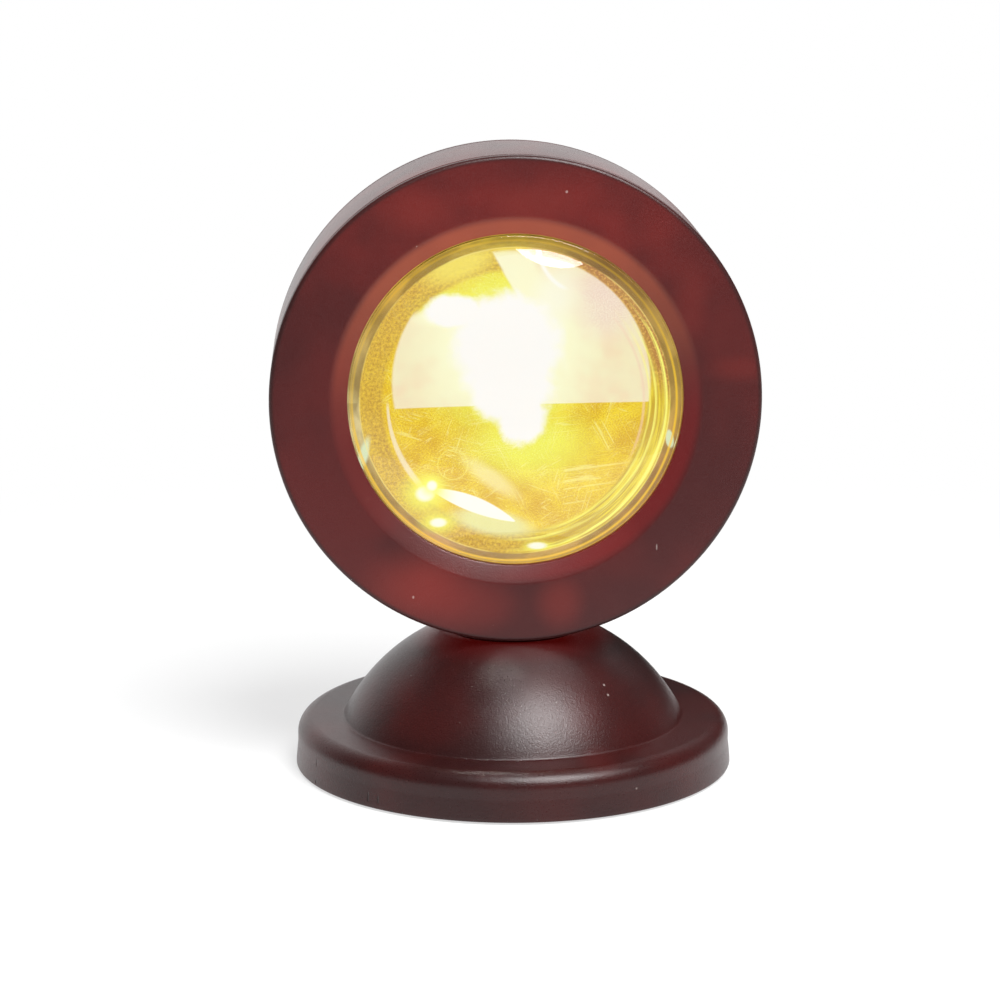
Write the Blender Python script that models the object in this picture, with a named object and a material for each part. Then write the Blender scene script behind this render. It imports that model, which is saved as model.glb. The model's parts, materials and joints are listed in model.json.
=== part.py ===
"""Sunset projection lamp: a round projector head that tilts on a swivel neck, over a domed base with three cells."""

import math

import bmesh
import bpy
from mathutils import Matrix, Vector

for old in list(bpy.data.objects):
    bpy.data.objects.remove(old, do_unlink=True)

MM = 0.001

# Clearances, and how far joined shapes bite into each other
FIT = 0.3 * MM
BITE = 0.6 * MM
OVERRUN = 3.0 * MM
WELD = 0.002 * MM

# Facets round a turn, and along the arcs of an outline
LARGE_STEPS = 60
MIDDLE_STEPS = 32
SMALL_STEPS = 12
DOME_ARC_STEPS = 10
EDGE_ARC_STEPS = 3

# Base shell: disc, dome and the seat that the head swivels on
DOME_SIDE_ROOM = 2.62 * MM
DOME_TOP_ROOM = 3.6 * MM
DISC_HEIGHT = 8.7 * MM
DISC_FILLET = 2.9 * MM
FOOT_FILLET = 0.9 * MM
LIP_WIDTH = 0.35 * MM
LIP_HEIGHT = 1.8 * MM
SHELL_WALL = 1.8 * MM
RIM_LIFT = 0.4 * MM
SEAT_RADIUS = 13.3 * MM
SEAT_RIM = 1.3 * MM
SEAT_FLOOR = 2.0 * MM

# Swivel neck
STEM_RADIUS = 4.7 * MM
STEM_BORE = 1.6 * MM
FLANGE_WALL = 1.8 * MM
PAN_WASHER_WALL = 0.4 * MM
WAVE_WASHER_WALL = 0.6 * MM
WAVE_WASHER_REACH = 3.0 * MM
NUT_WALL = 2.5 * MM
NUT_REACH = 3.0 * MM
TONGUE_WIDTH = 7.0 * MM
TONGUE_LEAD_WALL = 2.0 * MM
TONGUE_RISE = 5.2 * MM
EYE_RADIUS = 3.4 * MM
EYE_SLOPE = 2.0 * MM

# Tilt hinge in the rear cover
HEAD_GAP = 0.5 * MM
PIN_BEHIND_SEAM = 2.0 * MM
PIN_RISE = 3.9 * MM
PIN_RADIUS = 1.5 * MM
TILT_WASHER_WALL = 0.7 * MM
CHEEK_WALL = 3.1 * MM
CHEEK_RADIUS = 4.4 * MM
PIN_ENTRY = 10.0 * MM

# Projector head: front bezel, drum and rear cover
LENS_OPENING_RADIUS = 29.05 * MM
RECESS_WIDTH = 3.05 * MM
RECESS_DEPTH = 2.0 * MM
FACE_WIDTH = 10.4 * MM
FACE_LEAD = 13.5 * MM
EDGE_FILLET = 1.2 * MM
BEZEL_SKIRT = 1.0 * MM
BEZEL_LIP = 0.4 * MM
DRUM_DEPTH = 24.5 * MM
DRUM_WALL = 2.2 * MM
DRUM_RIB = 1.2 * MM
DRUM_RIBS = 12
SPIGOT_WALL = 1.8 * MM
SPIGOT_LENGTH = 4.0 * MM
COVER_DEPTH = 6.7 * MM
COVER_WALL = 2.0 * MM
COVER_STRAIGHT = 0.5 * MM
COVER_SHOULDER = 9.2 * MM
HEAD_BOSS_RADIUS = 2.6 * MM
HEAD_SCREWS = 3

# Lens, colour film and light tube
LENS_LIP = 2.0 * MM
LENS_FLANGE = 2.0 * MM
LENS_SAG = 7.5 * MM
LENS_COLLAR = 0.5 * MM
CUP_WALL = 1.3 * MM
FILM_WALL = 0.4 * MM
RING_WALL = 1.2 * MM
RING_WIDTH = 3.5 * MM
TUBE_FLANGE = 1.2 * MM
TUBE_WALL = 1.2 * MM
TUBE_LENGTH = 8.1 * MM
TUBE_MOUTH_RADIUS = 9.0 * MM
TUBE_EAR_RADIUS = 2.8 * MM
EAR_INSET = 0.1 * MM
TUBE_SCREWS = 3
SMALL_SCREW_RADIUS = 0.8 * MM
SMALL_HEAD_RADIUS = 1.7 * MM
SMALL_HEAD_WALL = 1.2 * MM
SMALL_SCREW_LENGTH = 4.6 * MM

# Light engine
BOARD_WALL = 1.6 * MM
LED_BOARD_RADIUS = 9.5 * MM
EMITTER_RADIUS = 4.0 * MM
EMITTER_WALL = 0.8 * MM
SINK_EDGE = 1.9 * MM
SINK_WALL = 2.0 * MM
FIN_WALL = 1.2 * MM
FIN_COUNT = 7
FIN_CLEARANCE = 2.8 * MM
SINK_BOSS_RADIUS = 2.0 * MM

# Driver board and its parts
DRIVER_WIDTH = 12.0 * MM
DRIVER_HEIGHT = 18.0 * MM
DRIVER_WALL = 1.2 * MM
DRIVER_GAP = 4.0 * MM
DRIVER_DROP = 1.0 * MM
DRIVER_POST = 4.5 * MM
DRIVER_POST_RADIUS = 1.8 * MM
CHIP_WIDTH = 5.0 * MM
CHIP_WALL = 1.5 * MM
CHIP_EDGE = 2.5 * MM
COIL_RADIUS = 3.2 * MM
COIL_HEIGHT = 3.0 * MM
COIL_EDGE = 1.3 * MM

# Push switch in the rear cover
SWITCH_BELOW_SCREW = 11.9 * MM
SWITCH_WIDTH = 12.0 * MM
SWITCH_DEPTH = 7.0 * MM
SWITCH_WELL = 3.5 * MM
SWITCH_TRAVEL = 1.5 * MM
CRADLE_WALL = 1.4 * MM
CRADLE_DEPTH = 6.0 * MM
BUTTON_RADIUS = 3.9 * MM
BUTTON_FLANGE = 0.9 * MM
BUTTON_FLANGE_WALL = 0.8 * MM
BUTTON_PROUD = 1.4 * MM
BUTTON_STEM = 2.0 * MM
BUTTON_DOME = 0.5 * MM

# Vent slots in the rear cover
VENT_BELOW_SWITCH = 9.0 * MM
VENT_WIDTH = 2.0 * MM
VENT_COUNT = 7
VENT_EDGE = 0.3 * MM

# Battery bay in the bottom plate
CELL_RADIUS = 5.25 * MM
CELL_LENGTH = 44.5 * MM
CELL_PITCH = 10.8 * MM
CELL_NUB_RADIUS = 1.9 * MM
CELL_NUB = 0.8 * MM
CELL_EDGE = 0.5 * MM
SPRING_ROOM = 2.4 * MM
PLATE_WALL = 1.6 * MM
DOOR_WALL = 1.1 * MM
BAY_WALL = 1.0 * MM
STRAP_PLACE = 10.0 * MM
STRAP_WIDTH = 5.0 * MM
STRAP_INSET = 0.1 * MM
CONTACT_WALL = 0.4 * MM
CONTACT_SIDE = 2.4 * MM
CONTACT_RISE = 2.0 * MM
CONTACT_LIFT = 1.6 * MM
SPRING_FOOT_RADIUS = 3.5 * MM
SPRING_TIP_RADIUS = 2.0 * MM
SPRING_WIRE = 0.28 * MM
SPRING_TURNS = 2
POINTS_PER_TURN = 10
DOOR_TONGUE = 1.8 * MM
DOOR_TONGUE_WIDTH = 5.0 * MM
DOOR_TONGUE_WALL = 0.6 * MM
DOOR_TONGUE_PLACE = 9.0 * MM
DOOR_AXIS_INSET = 0.4 * MM
WINDOW_HEIGHT = 3.2 * MM
THUMB_RADIUS = 6.0 * MM
THUMB_DEPTH = 0.6 * MM

# Ballast, feet and base screws
BALLAST_GAP = 0.52 * MM
BALLAST_INSET = 1.0 * MM
BALLAST_WIDTH = 4.6 * MM
PAD_RADIUS = 3.6 * MM
PAD_WALL = 1.2 * MM
PAD_EDGE = 1.08 * MM
BASE_BOSS_RADIUS = 2.9 * MM
BASE_BOSS_GAP = 1.5 * MM
BASE_BOSS_ANGLE = 22
BASE_SCREW_RADIUS = 1.0 * MM
BASE_SCREW_LENGTH = 7.0 * MM
PLATE_BOSS_RISE = 2.0 * MM
COUNTERBORE_ROOF = 2.2 * MM

# Leads
LEAD_RADIUS = 0.6 * MM
NECK_LEAD_RADIUS = 1.2 * MM

# Places worked out from the sizes above
CELL_HEIGHT = RIM_LIFT + DOOR_WALL + FIT + CELL_RADIUS
CELL_TOP = CELL_HEIGHT + CELL_RADIUS
BAY_HALF_WIDTH = CELL_PITCH + CELL_RADIUS + FIT
CONTACT_PLACE = (CELL_LENGTH + SPRING_ROOM + FIT) / 2
BAY_HALF_LENGTH = CONTACT_PLACE + CONTACT_WALL + FIT
CELL_SHIFT = (SPRING_ROOM - FIT) / 2
BAY_ROOF = CELL_TOP + FIT
BAY_CORNER = math.hypot(BAY_HALF_WIDTH + BAY_WALL, BAY_HALF_LENGTH + BAY_WALL)
BALLAST_INSIDE = BAY_CORNER + BALLAST_GAP
BALLAST_OUTSIDE = BALLAST_INSIDE + BALLAST_WIDTH
INNER_WALL_RADIUS = BALLAST_OUTSIDE + BALLAST_INSET
WALL_RADIUS = INNER_WALL_RADIUS + SHELL_WALL
BASE_RADIUS = WALL_RADIUS + LIP_WIDTH
DISC_CEILING = DISC_HEIGHT - SHELL_WALL

# The neck's stack stands over the cells, and the dome clears the cells' far corners
STEM_END = CELL_TOP + DOME_TOP_ROOM
SEAT_CEILING = STEM_END + WAVE_WASHER_WALL + NUT_WALL + 3 * FIT
POCKET_FLOOR = SEAT_CEILING + SEAT_FLOOR
SEAT_TOP = POCKET_FLOOR + FLANGE_WALL + PAN_WASHER_WALL + 2 * FIT
POCKET_RADIUS = SEAT_RADIUS - SEAT_RIM
CELL_END_CORNER = math.hypot(CELL_PITCH, CELL_LENGTH / 2 + CELL_SHIFT)
DOME_SIDE = CELL_END_CORNER + DOME_SIDE_ROOM
SPHERE_RISE = SEAT_TOP - CELL_TOP
DOME_CENTRE = (SEAT_TOP + CELL_TOP) / 2 + (SEAT_RADIUS**2 - DOME_SIDE**2) / (2 * SPHERE_RISE)
DOME_RADIUS = math.hypot(SEAT_RADIUS, SEAT_TOP - DOME_CENTRE)
DOME_INSIDE = DOME_RADIUS - SHELL_WALL
PAD_PLACE = (INNER_WALL_RADIUS - FIT - PAD_RADIUS - PAD_EDGE) * math.sqrt(0.5)

RECESS_RADIUS = LENS_OPENING_RADIUS + RECESS_WIDTH
HEAD_RADIUS = RECESS_RADIUS + FACE_WIDTH
HEAD_CENTRE = SEAT_TOP + HEAD_GAP + HEAD_RADIUS
FRONT_SEAM = FACE_LEAD - EDGE_FILLET - BEZEL_SKIRT
PLATE_REAR = FACE_LEAD - RECESS_DEPTH - BEZEL_LIP
REAR_SEAM = FACE_LEAD - DRUM_DEPTH
DRUM_INSIDE = HEAD_RADIUS - DRUM_WALL
SPIGOT_OUTSIDE = DRUM_INSIDE - FIT
SPIGOT_INSIDE = SPIGOT_OUTSIDE - SPIGOT_WALL
COVER_SEAM = REAR_SEAM - FIT
COVER_BACK = COVER_SEAM - COVER_DEPTH
COVER_INSIDE = COVER_BACK + COVER_WALL
BOSS_PITCH = SPIGOT_INSIDE + FIT - HEAD_BOSS_RADIUS
SWITCH_PLACE = BOSS_PITCH - SWITCH_BELOW_SCREW
VENT_FIELD_RADIUS = SWITCH_PLACE - VENT_BELOW_SWITCH
VENT_PITCH = 2 * (VENT_FIELD_RADIUS - VENT_EDGE) / VENT_COUNT
SINK_SCREW_REACH = LED_BOARD_RADIUS + SINK_BOSS_RADIUS + 2 * FIT
SINK_RADIUS = SINK_SCREW_REACH + SINK_EDGE
DRIVER_PLACE = SINK_RADIUS + DRIVER_GAP + DRIVER_WIDTH / 2

LENS_FLANGE_RADIUS = LENS_OPENING_RADIUS + LENS_LIP
CUP_INSIDE = LENS_FLANGE_RADIUS + FIT
LENS_FRONT = PLATE_REAR - FIT
LENS_REAR = LENS_FRONT - LENS_FLANGE
FILM_FRONT = LENS_REAR - FIT
RING_FRONT = FILM_FRONT - FILM_WALL - FIT
CUP_REAR = RING_FRONT - RING_WALL
TUBE_FRONT = CUP_REAR - FIT
TUBE_REAR = TUBE_FRONT - TUBE_FLANGE - TUBE_LENGTH
BOARD_FRONT = TUBE_REAR - FIT
SINK_FRONT = BOARD_FRONT - BOARD_WALL - FIT
FIN_REAR = COVER_INSIDE + FIN_CLEARANCE

PIN_BACK = -COVER_SEAM + PIN_BEHIND_SEAM - FIT
PIN_HEIGHT = HEAD_CENTRE - HEAD_RADIUS + PIN_RISE
PIN_DROP = HEAD_CENTRE - PIN_HEIGHT
CHEEK_GAP = TONGUE_WIDTH / 2 + TILT_WASHER_WALL + 2 * FIT

DOOR_BOTTOM = RIM_LIFT
PLATE_TOP = RIM_LIFT + PLATE_WALL
WALL_TOP = DISC_CEILING - 2 * FIT
DOOR_HALF_LENGTH = BAY_HALF_LENGTH - FIT
DOOR_AXIS_Y = DOOR_HALF_LENGTH - DOOR_AXIS_INSET
DOOR_AXIS_Z = DOOR_BOTTOM + DOOR_WALL / 2
CELL_SIGNS = (1, -1, 1)


def frame(name, parent, place, turn=0):
    """An empty that others are placed in; the turn is about X, in degrees."""
    axis = bpy.data.objects.new(name, None)
    bpy.context.scene.collection.objects.link(axis)
    axis.empty_display_size = EYE_RADIUS
    axis.location = place
    axis.rotation_euler = (math.radians(turn), 0, 0)
    axis.parent = parent
    return axis


def finish(name, colour, roughness, metallic=0.0, alpha=1.0):
    """A Principled material."""
    material = bpy.data.materials.new(name)
    material.use_nodes = True
    shader = material.node_tree.nodes["Principled BSDF"]
    shader.inputs["Base Color"].default_value = (*colour, 1.0)
    shader.inputs["Roughness"].default_value = roughness
    shader.inputs["Metallic"].default_value = metallic
    shader.inputs["Alpha"].default_value = alpha
    material.diffuse_color = (*colour, alpha)
    return material


def make(name, fill, parent=None, material=None):
    """One object; fill() draws its closed shape in the coordinates of its parent."""
    solid = bmesh.new()
    fill(solid)
    bmesh.ops.remove_doubles(solid, verts=solid.verts, dist=WELD)
    bmesh.ops.recalc_face_normals(solid, faces=solid.faces)
    mesh = bpy.data.meshes.new(name)
    solid.to_mesh(mesh)
    solid.free()
    mesh.shade_smooth()
    mesh.set_sharp_from_angle(angle=math.radians(35))
    thing = bpy.data.objects.new(name, mesh)
    bpy.context.scene.collection.objects.link(thing)
    thing.parent = parent
    if material:
        mesh.materials.append(material)
    return thing


def change(target, tool, operation):
    """A Boolean on the target; the tool is drawn as wire and isn't a piece of the lamp."""
    step = target.modifiers.new(tool.name, "BOOLEAN")
    step.operation = operation
    step.object = tool
    tool.hide_render = True
    tool.display_type = "WIRE"
    return target


def add(target, *tools):
    for tool in tools:
        change(target, tool, "UNION")
    return target


def cut(target, *tools):
    for tool in tools:
        change(target, tool, "DIFFERENCE")
    return target


def keep_inside(target, tool):
    return change(target, tool, "INTERSECT")


def arc(centre, radii, start, stop, steps):
    """Points of an ellipse's arc in (radius, height), the angles in degrees."""
    points = []
    for step in range(steps + 1):
        angle = math.radians(start + (stop - start) * step / steps)
        points.append((centre[0] + radii[0] * math.cos(angle), centre[1] + radii[1] * math.sin(angle)))
    return points


def turned(outline, steps, place=(0, 0, 0), along="Z"):
    """Fills a shape turned from (radius, height) points; an outline that ends on the axis stays open there."""

    def fill(solid):
        corners = [solid.verts.new((radius, 0, height)) for radius, height in outline]
        edges = [solid.edges.new(pair) for pair in zip(corners, corners[1:])]
        if outline[0][0] > 0:
            edges.append(solid.edges.new((corners[-1], corners[0])))
        spun = bmesh.ops.spin(
            solid,
            geom=corners + edges,
            cent=(0, 0, 0),
            axis=(0, 0, 1),
            angle=math.tau,
            steps=steps,
            use_merge=True,
        )
        del spun
        quarter = math.pi / 2
        turns = {"Z": Matrix(), "X": Matrix.Rotation(quarter, 4, "Y"), "Y": Matrix.Rotation(-quarter, 4, "X")}
        bmesh.ops.transform(solid, matrix=Matrix.Translation(place) @ turns[along], verts=solid.verts)

    return fill


def rod(radius, low, high, steps=SMALL_STEPS, place=(0, 0), along="Z"):
    """Fills a solid cylinder from low to high along its axis, through a place in the plane across it."""
    spots = {"Z": (*place, 0), "X": (0, *place), "Y": (place[0], 0, place[1])}
    return turned([(0, low), (radius, low), (radius, high), (0, high)], steps, spots[along], along)


def ring(inside, outside, low, high, steps=MIDDLE_STEPS):
    return turned([(inside, low), (outside, low), (outside, high), (inside, high)], steps)


def block(low, high):
    """Fills a box between two corners."""

    def fill(solid):
        size = [top - bottom for bottom, top in zip(low, high)]
        middle = Vector(low) + Vector(size) / 2
        bmesh.ops.create_cube(solid, size=1, matrix=Matrix.Translation(middle) @ Matrix.Diagonal((*size, 1)))

    return fill


def slab(outline, low, high):
    """Fills an outline of (y, z) points, extruded along X from low to high."""

    def fill(solid):
        face = solid.faces.new([solid.verts.new((low, y, z)) for y, z in outline])
        grown = bmesh.ops.extrude_face_region(solid, geom=[face])["geom"]
        moved = [item for item in grown if isinstance(item, bmesh.types.BMVert)]
        bmesh.ops.translate(solid, vec=(high - low, 0, 0), verts=moved)

    return fill


def prism(outline, low, high):
    """Fills an outline of (x, y) points, extruded along Z from low to high."""

    def fill(solid):
        face = solid.faces.new([solid.verts.new((x, y, low)) for x, y in outline])
        grown = bmesh.ops.extrude_face_region(solid, geom=[face])["geom"]
        moved = [item for item in grown if isinstance(item, bmesh.types.BMVert)]
        bmesh.ops.translate(solid, vec=(0, 0, high - low), verts=moved)

    return fill


def several(*fills):
    """Fills separate shapes that make one cutter."""

    def fill(solid):
        for part in fills:
            piece = bmesh.new()
            part(piece)
            bmesh.ops.remove_doubles(piece, verts=piece.verts, dist=WELD)
            mesh = bpy.data.meshes.new("copy")
            piece.to_mesh(mesh)
            piece.free()
            solid.from_mesh(mesh)
            bpy.data.meshes.remove(mesh)

    return fill


def around(count, radius, first):
    """Places on a circle, the first at an angle in degrees."""
    angles = [math.radians(first + 360 * index / count) for index in range(count)]
    return [(radius * math.cos(angle), radius * math.sin(angle)) for angle in angles]


def wire(name, points, radius, parent, material, bevel=2):
    """A lead or a spring wire along its points."""
    curve = bpy.data.curves.new(name, "CURVE")
    curve.dimensions = "3D"
    curve.bevel_depth = radius
    curve.bevel_resolution = bevel
    curve.use_fill_caps = True
    path = curve.splines.new("POLY")
    path.points.add(len(points) - 1)
    for spot, point in zip(path.points, points):
        spot.co = (*point, 1)
    curve.materials.append(material)
    thing = bpy.data.objects.new(name, curve)
    bpy.context.scene.collection.objects.link(thing)
    thing.parent = parent
    return thing


def smooth_path(points, between=4):
    """A Catmull-Rom curve through the route's points."""
    spots = [Vector(point) for point in points]
    ends = [2 * spots[0] - spots[1]] + spots + [2 * spots[-1] - spots[-2]]
    path = []
    for before, start, stop, after in zip(ends, ends[1:], ends[2:], ends[3:]):
        for step in range(between):
            t = step / between
            square = (2 * before - 5 * start + 4 * stop - after) * t**2
            bend = square + (3 * start - before - 3 * stop + after) * t**3
            path.append((2 * start + (stop - before) * t + bend) / 2)
    return path + [spots[-1]]


# Finishes
SHELL = finish("mahogany_plastic", (0.095, 0.012, 0.010), 0.42)
CLEAR = finish("clear_acrylic", (0.98, 0.93, 0.80), 0.06, alpha=0.45)
GOLD_FILM = finish("gold_film", (0.95, 0.62, 0.08), 0.20)
WHITE_PLASTIC = finish("white_plastic", (0.80, 0.79, 0.75), 0.35)
BLACK_PLASTIC = finish("black_plastic", (0.02, 0.02, 0.02), 0.45)
ALUMINIUM = finish("aluminium", (0.72, 0.73, 0.74), 0.35, 1.0)
STEEL = finish("steel", (0.55, 0.55, 0.56), 0.30, 1.0)
NICKEL = finish("nickel", (0.70, 0.68, 0.63), 0.22, 1.0)
BRASS = finish("brass", (0.72, 0.52, 0.22), 0.30, 1.0)
CIRCUIT = finish("green_board", (0.02, 0.16, 0.07), 0.40)
PHOSPHOR = finish("phosphor", (0.95, 0.80, 0.15), 0.50)
RUBBER = finish("rubber", (0.03, 0.03, 0.03), 0.80)
NYLON = finish("nylon", (0.75, 0.74, 0.70), 0.45)
CELL_JACKET = finish("cell_jacket", (0.10, 0.22, 0.20), 0.30)
RED_LEAD = finish("red_lead", (0.50, 0.02, 0.02), 0.45)
BLACK_LEAD = finish("black_lead", (0.02, 0.02, 0.02), 0.45)
GREY_LEAD = finish("grey_lead", (0.30, 0.30, 0.31), 0.45)

# Joint axes; in the head's frame X is right, Y is up and Z is forward, out of the lens
BASE = frame("base", None, (0, 0, 0))
PAN_AXIS = frame("pan_axis", BASE, (0, 0, 0))
TILT_AXIS = frame("tilt_axis", PAN_AXIS, (0, PIN_BACK, PIN_HEIGHT))
HEAD = frame("head", TILT_AXIS, (0, -PIN_BACK, PIN_DROP), 90)
BUTTON_AXIS = frame("button_axis", HEAD, (0, SWITCH_PLACE, COVER_BACK))
DOOR_AXIS = frame("door_axis", BASE, (0, DOOR_AXIS_Y, DOOR_AXIS_Z))


def dome_arc(radius, low, high, steps):
    """The dome's arc between two heights, going up or down."""
    start = math.degrees(math.asin((low - DOME_CENTRE) / radius))
    stop = math.degrees(math.asin((high - DOME_CENTRE) / radius))
    return arc((0, DOME_CENTRE), (radius, radius), start, stop, steps)


def base_outline():
    """The shell's section: outside from the rim up to the seat, then inside back down."""
    fillet = (WALL_RADIUS - DISC_FILLET, DISC_HEIGHT - DISC_FILLET)
    rise = DISC_HEIGHT + FOOT_FILLET - DOME_CENTRE
    reach = math.sqrt((DOME_RADIUS + FOOT_FILLET) ** 2 - rise**2)
    lean = math.degrees(math.atan2(rise, reach))
    foot = arc((reach, DISC_HEIGHT + FOOT_FILLET), (FOOT_FILLET, FOOT_FILLET), 270, 180 + lean, EDGE_ARC_STEPS)
    outside = [
        (BASE_RADIUS, RIM_LIFT),
        (BASE_RADIUS, RIM_LIFT + LIP_HEIGHT),
        (WALL_RADIUS, RIM_LIFT + LIP_HEIGHT + LIP_WIDTH),
        *arc(fillet, (DISC_FILLET, DISC_FILLET), 0, 90, EDGE_ARC_STEPS),
        *foot,
        *dome_arc(DOME_RADIUS, foot[-1][1], SEAT_TOP, DOME_ARC_STEPS)[1:],
    ]
    seat = [
        (POCKET_RADIUS, SEAT_TOP),
        (POCKET_RADIUS, POCKET_FLOOR),
        (STEM_RADIUS + FIT, POCKET_FLOOR),
        (STEM_RADIUS + FIT, SEAT_CEILING),
    ]
    inside = [
        *dome_arc(DOME_INSIDE, SEAT_CEILING, DISC_CEILING, DOME_ARC_STEPS // 2),
        (INNER_WALL_RADIUS - BALLAST_INSET, DISC_CEILING),
        (INNER_WALL_RADIUS, DISC_CEILING - BALLAST_INSET),
        (INNER_WALL_RADIUS, RIM_LIFT),
    ]
    return outside + seat + inside


def dome_core():
    """Half a wall inside the outer skin: bosses that stop here stay hidden."""
    middle = DOME_RADIUS - SHELL_WALL / 2
    low = RIM_LIFT
    top = DOME_CENTRE + middle
    edge = DISC_HEIGHT - SHELL_WALL / 2
    reach = math.sqrt(middle**2 - (edge - DOME_CENTRE) ** 2)
    arc_points = dome_arc(middle, edge, top, DOME_ARC_STEPS)
    return [(0, low), (reach, low), *arc_points[:-1], (0, top)]


BASE_BOSS_REACH = BALLAST_INSIDE - BASE_BOSS_RADIUS - FIT - BASE_BOSS_GAP
BOSS_ANGLES = [math.radians(angle) for angle in (BASE_BOSS_ANGLE, -BASE_BOSS_ANGLE, 180)]
BOSS_PLACES = [(BASE_BOSS_REACH * math.cos(angle), BASE_BOSS_REACH * math.sin(angle)) for angle in BOSS_ANGLES]
PLATE_BOSS_TOP = PLATE_TOP + PLATE_BOSS_RISE
SHELL_BOSS_BOTTOM = PLATE_BOSS_TOP + FIT
SCREW_SEAT = RIM_LIFT + COUNTERBORE_ROOF
BASE_SCREW_TIP = SCREW_SEAT - FIT + BASE_SCREW_LENGTH


def base_shell():
    shell = make("base_shell", turned(base_outline(), LARGE_STEPS), BASE, SHELL)
    for number, place in enumerate(BOSS_PLACES, 1):
        boss = make(f"boss_{number}", rod(BASE_BOSS_RADIUS, SHELL_BOSS_BOTTOM, SEAT_TOP, place=place), BASE)
        core = make(f"core_{number}", turned(dome_core(), LARGE_STEPS // 2), BASE)
        core.hide_render = True
        keep_inside(boss, core)
        add(shell, boss)
    bore = BASE_SCREW_RADIUS + FIT
    low = SHELL_BOSS_BOTTOM - OVERRUN
    bores = [rod(bore, low, BASE_SCREW_TIP + FIT, place=place) for place in BOSS_PLACES]
    cut(shell, make("boss_bores", several(*bores), BASE))
    return shell


def seat_washer():
    low = POCKET_FLOOR + FIT
    make("pan_washer", ring(STEM_RADIUS + FIT, POCKET_RADIUS - FIT, low, low + PAN_WASHER_WALL), BASE, NYLON)


def tongue_outline():
    """Side view of the tongue that carries the tilt pin, in (y, z)."""
    low = SEAT_TOP - BITE
    top = SEAT_TOP + TONGUE_RISE
    front = -STEM_BORE - TONGUE_LEAD_WALL
    return [
        (front, low),
        (POCKET_RADIUS - FIT - BITE, low),
        (POCKET_RADIUS - FIT - BITE, SEAT_TOP),
        *arc((PIN_BACK, PIN_HEIGHT), (EYE_RADIUS, EYE_RADIUS), -50, 110, 2 * EDGE_ARC_STEPS),
        (PIN_BACK - EYE_RADIUS - EYE_SLOPE, top),
        (front, top),
    ]


def neck():
    flange = POCKET_RADIUS - FIT
    outline = [
        (0, STEM_END),
        (STEM_RADIUS, STEM_END),
        (STEM_RADIUS, SEAT_TOP - FLANGE_WALL),
        (flange, SEAT_TOP - FLANGE_WALL),
        (flange, SEAT_TOP),
        (0, SEAT_TOP),
    ]
    bracket = make("neck_bracket", turned(outline, MIDDLE_STEPS), PAN_AXIS, SHELL)
    half = TONGUE_WIDTH / 2
    tongue = make("tongue", slab(tongue_outline(), -half, half), PAN_AXIS)
    add(bracket, tongue)
    bore = rod(STEM_BORE, STEM_END - OVERRUN, SEAT_TOP + TONGUE_RISE + OVERRUN)
    pin = rod(PIN_RADIUS + FIT, -TONGUE_WIDTH, TONGUE_WIDTH, SMALL_STEPS, (PIN_BACK, PIN_HEIGHT), "X")
    cut(bracket, make("stem_bore", bore, PAN_AXIS), make("eye_bore", pin, PAN_AXIS))
    washer_top = SEAT_CEILING - FIT
    washer = ring(STEM_RADIUS + FIT, STEM_RADIUS + WAVE_WASHER_REACH, washer_top - WAVE_WASHER_WALL, washer_top)
    make("spring_washer", washer, PAN_AXIS, STEEL)
    nut_top = washer_top - WAVE_WASHER_WALL - FIT
    nut = rod(STEM_RADIUS + NUT_REACH, nut_top - NUT_WALL, nut_top, 6)
    hole = rod(STEM_RADIUS + FIT, nut_top - NUT_WALL - OVERRUN, nut_top + OVERRUN, MIDDLE_STEPS)
    cut(make("swivel_nut", nut, PAN_AXIS, BRASS), make("nut_hole", hole, PAN_AXIS))


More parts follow.
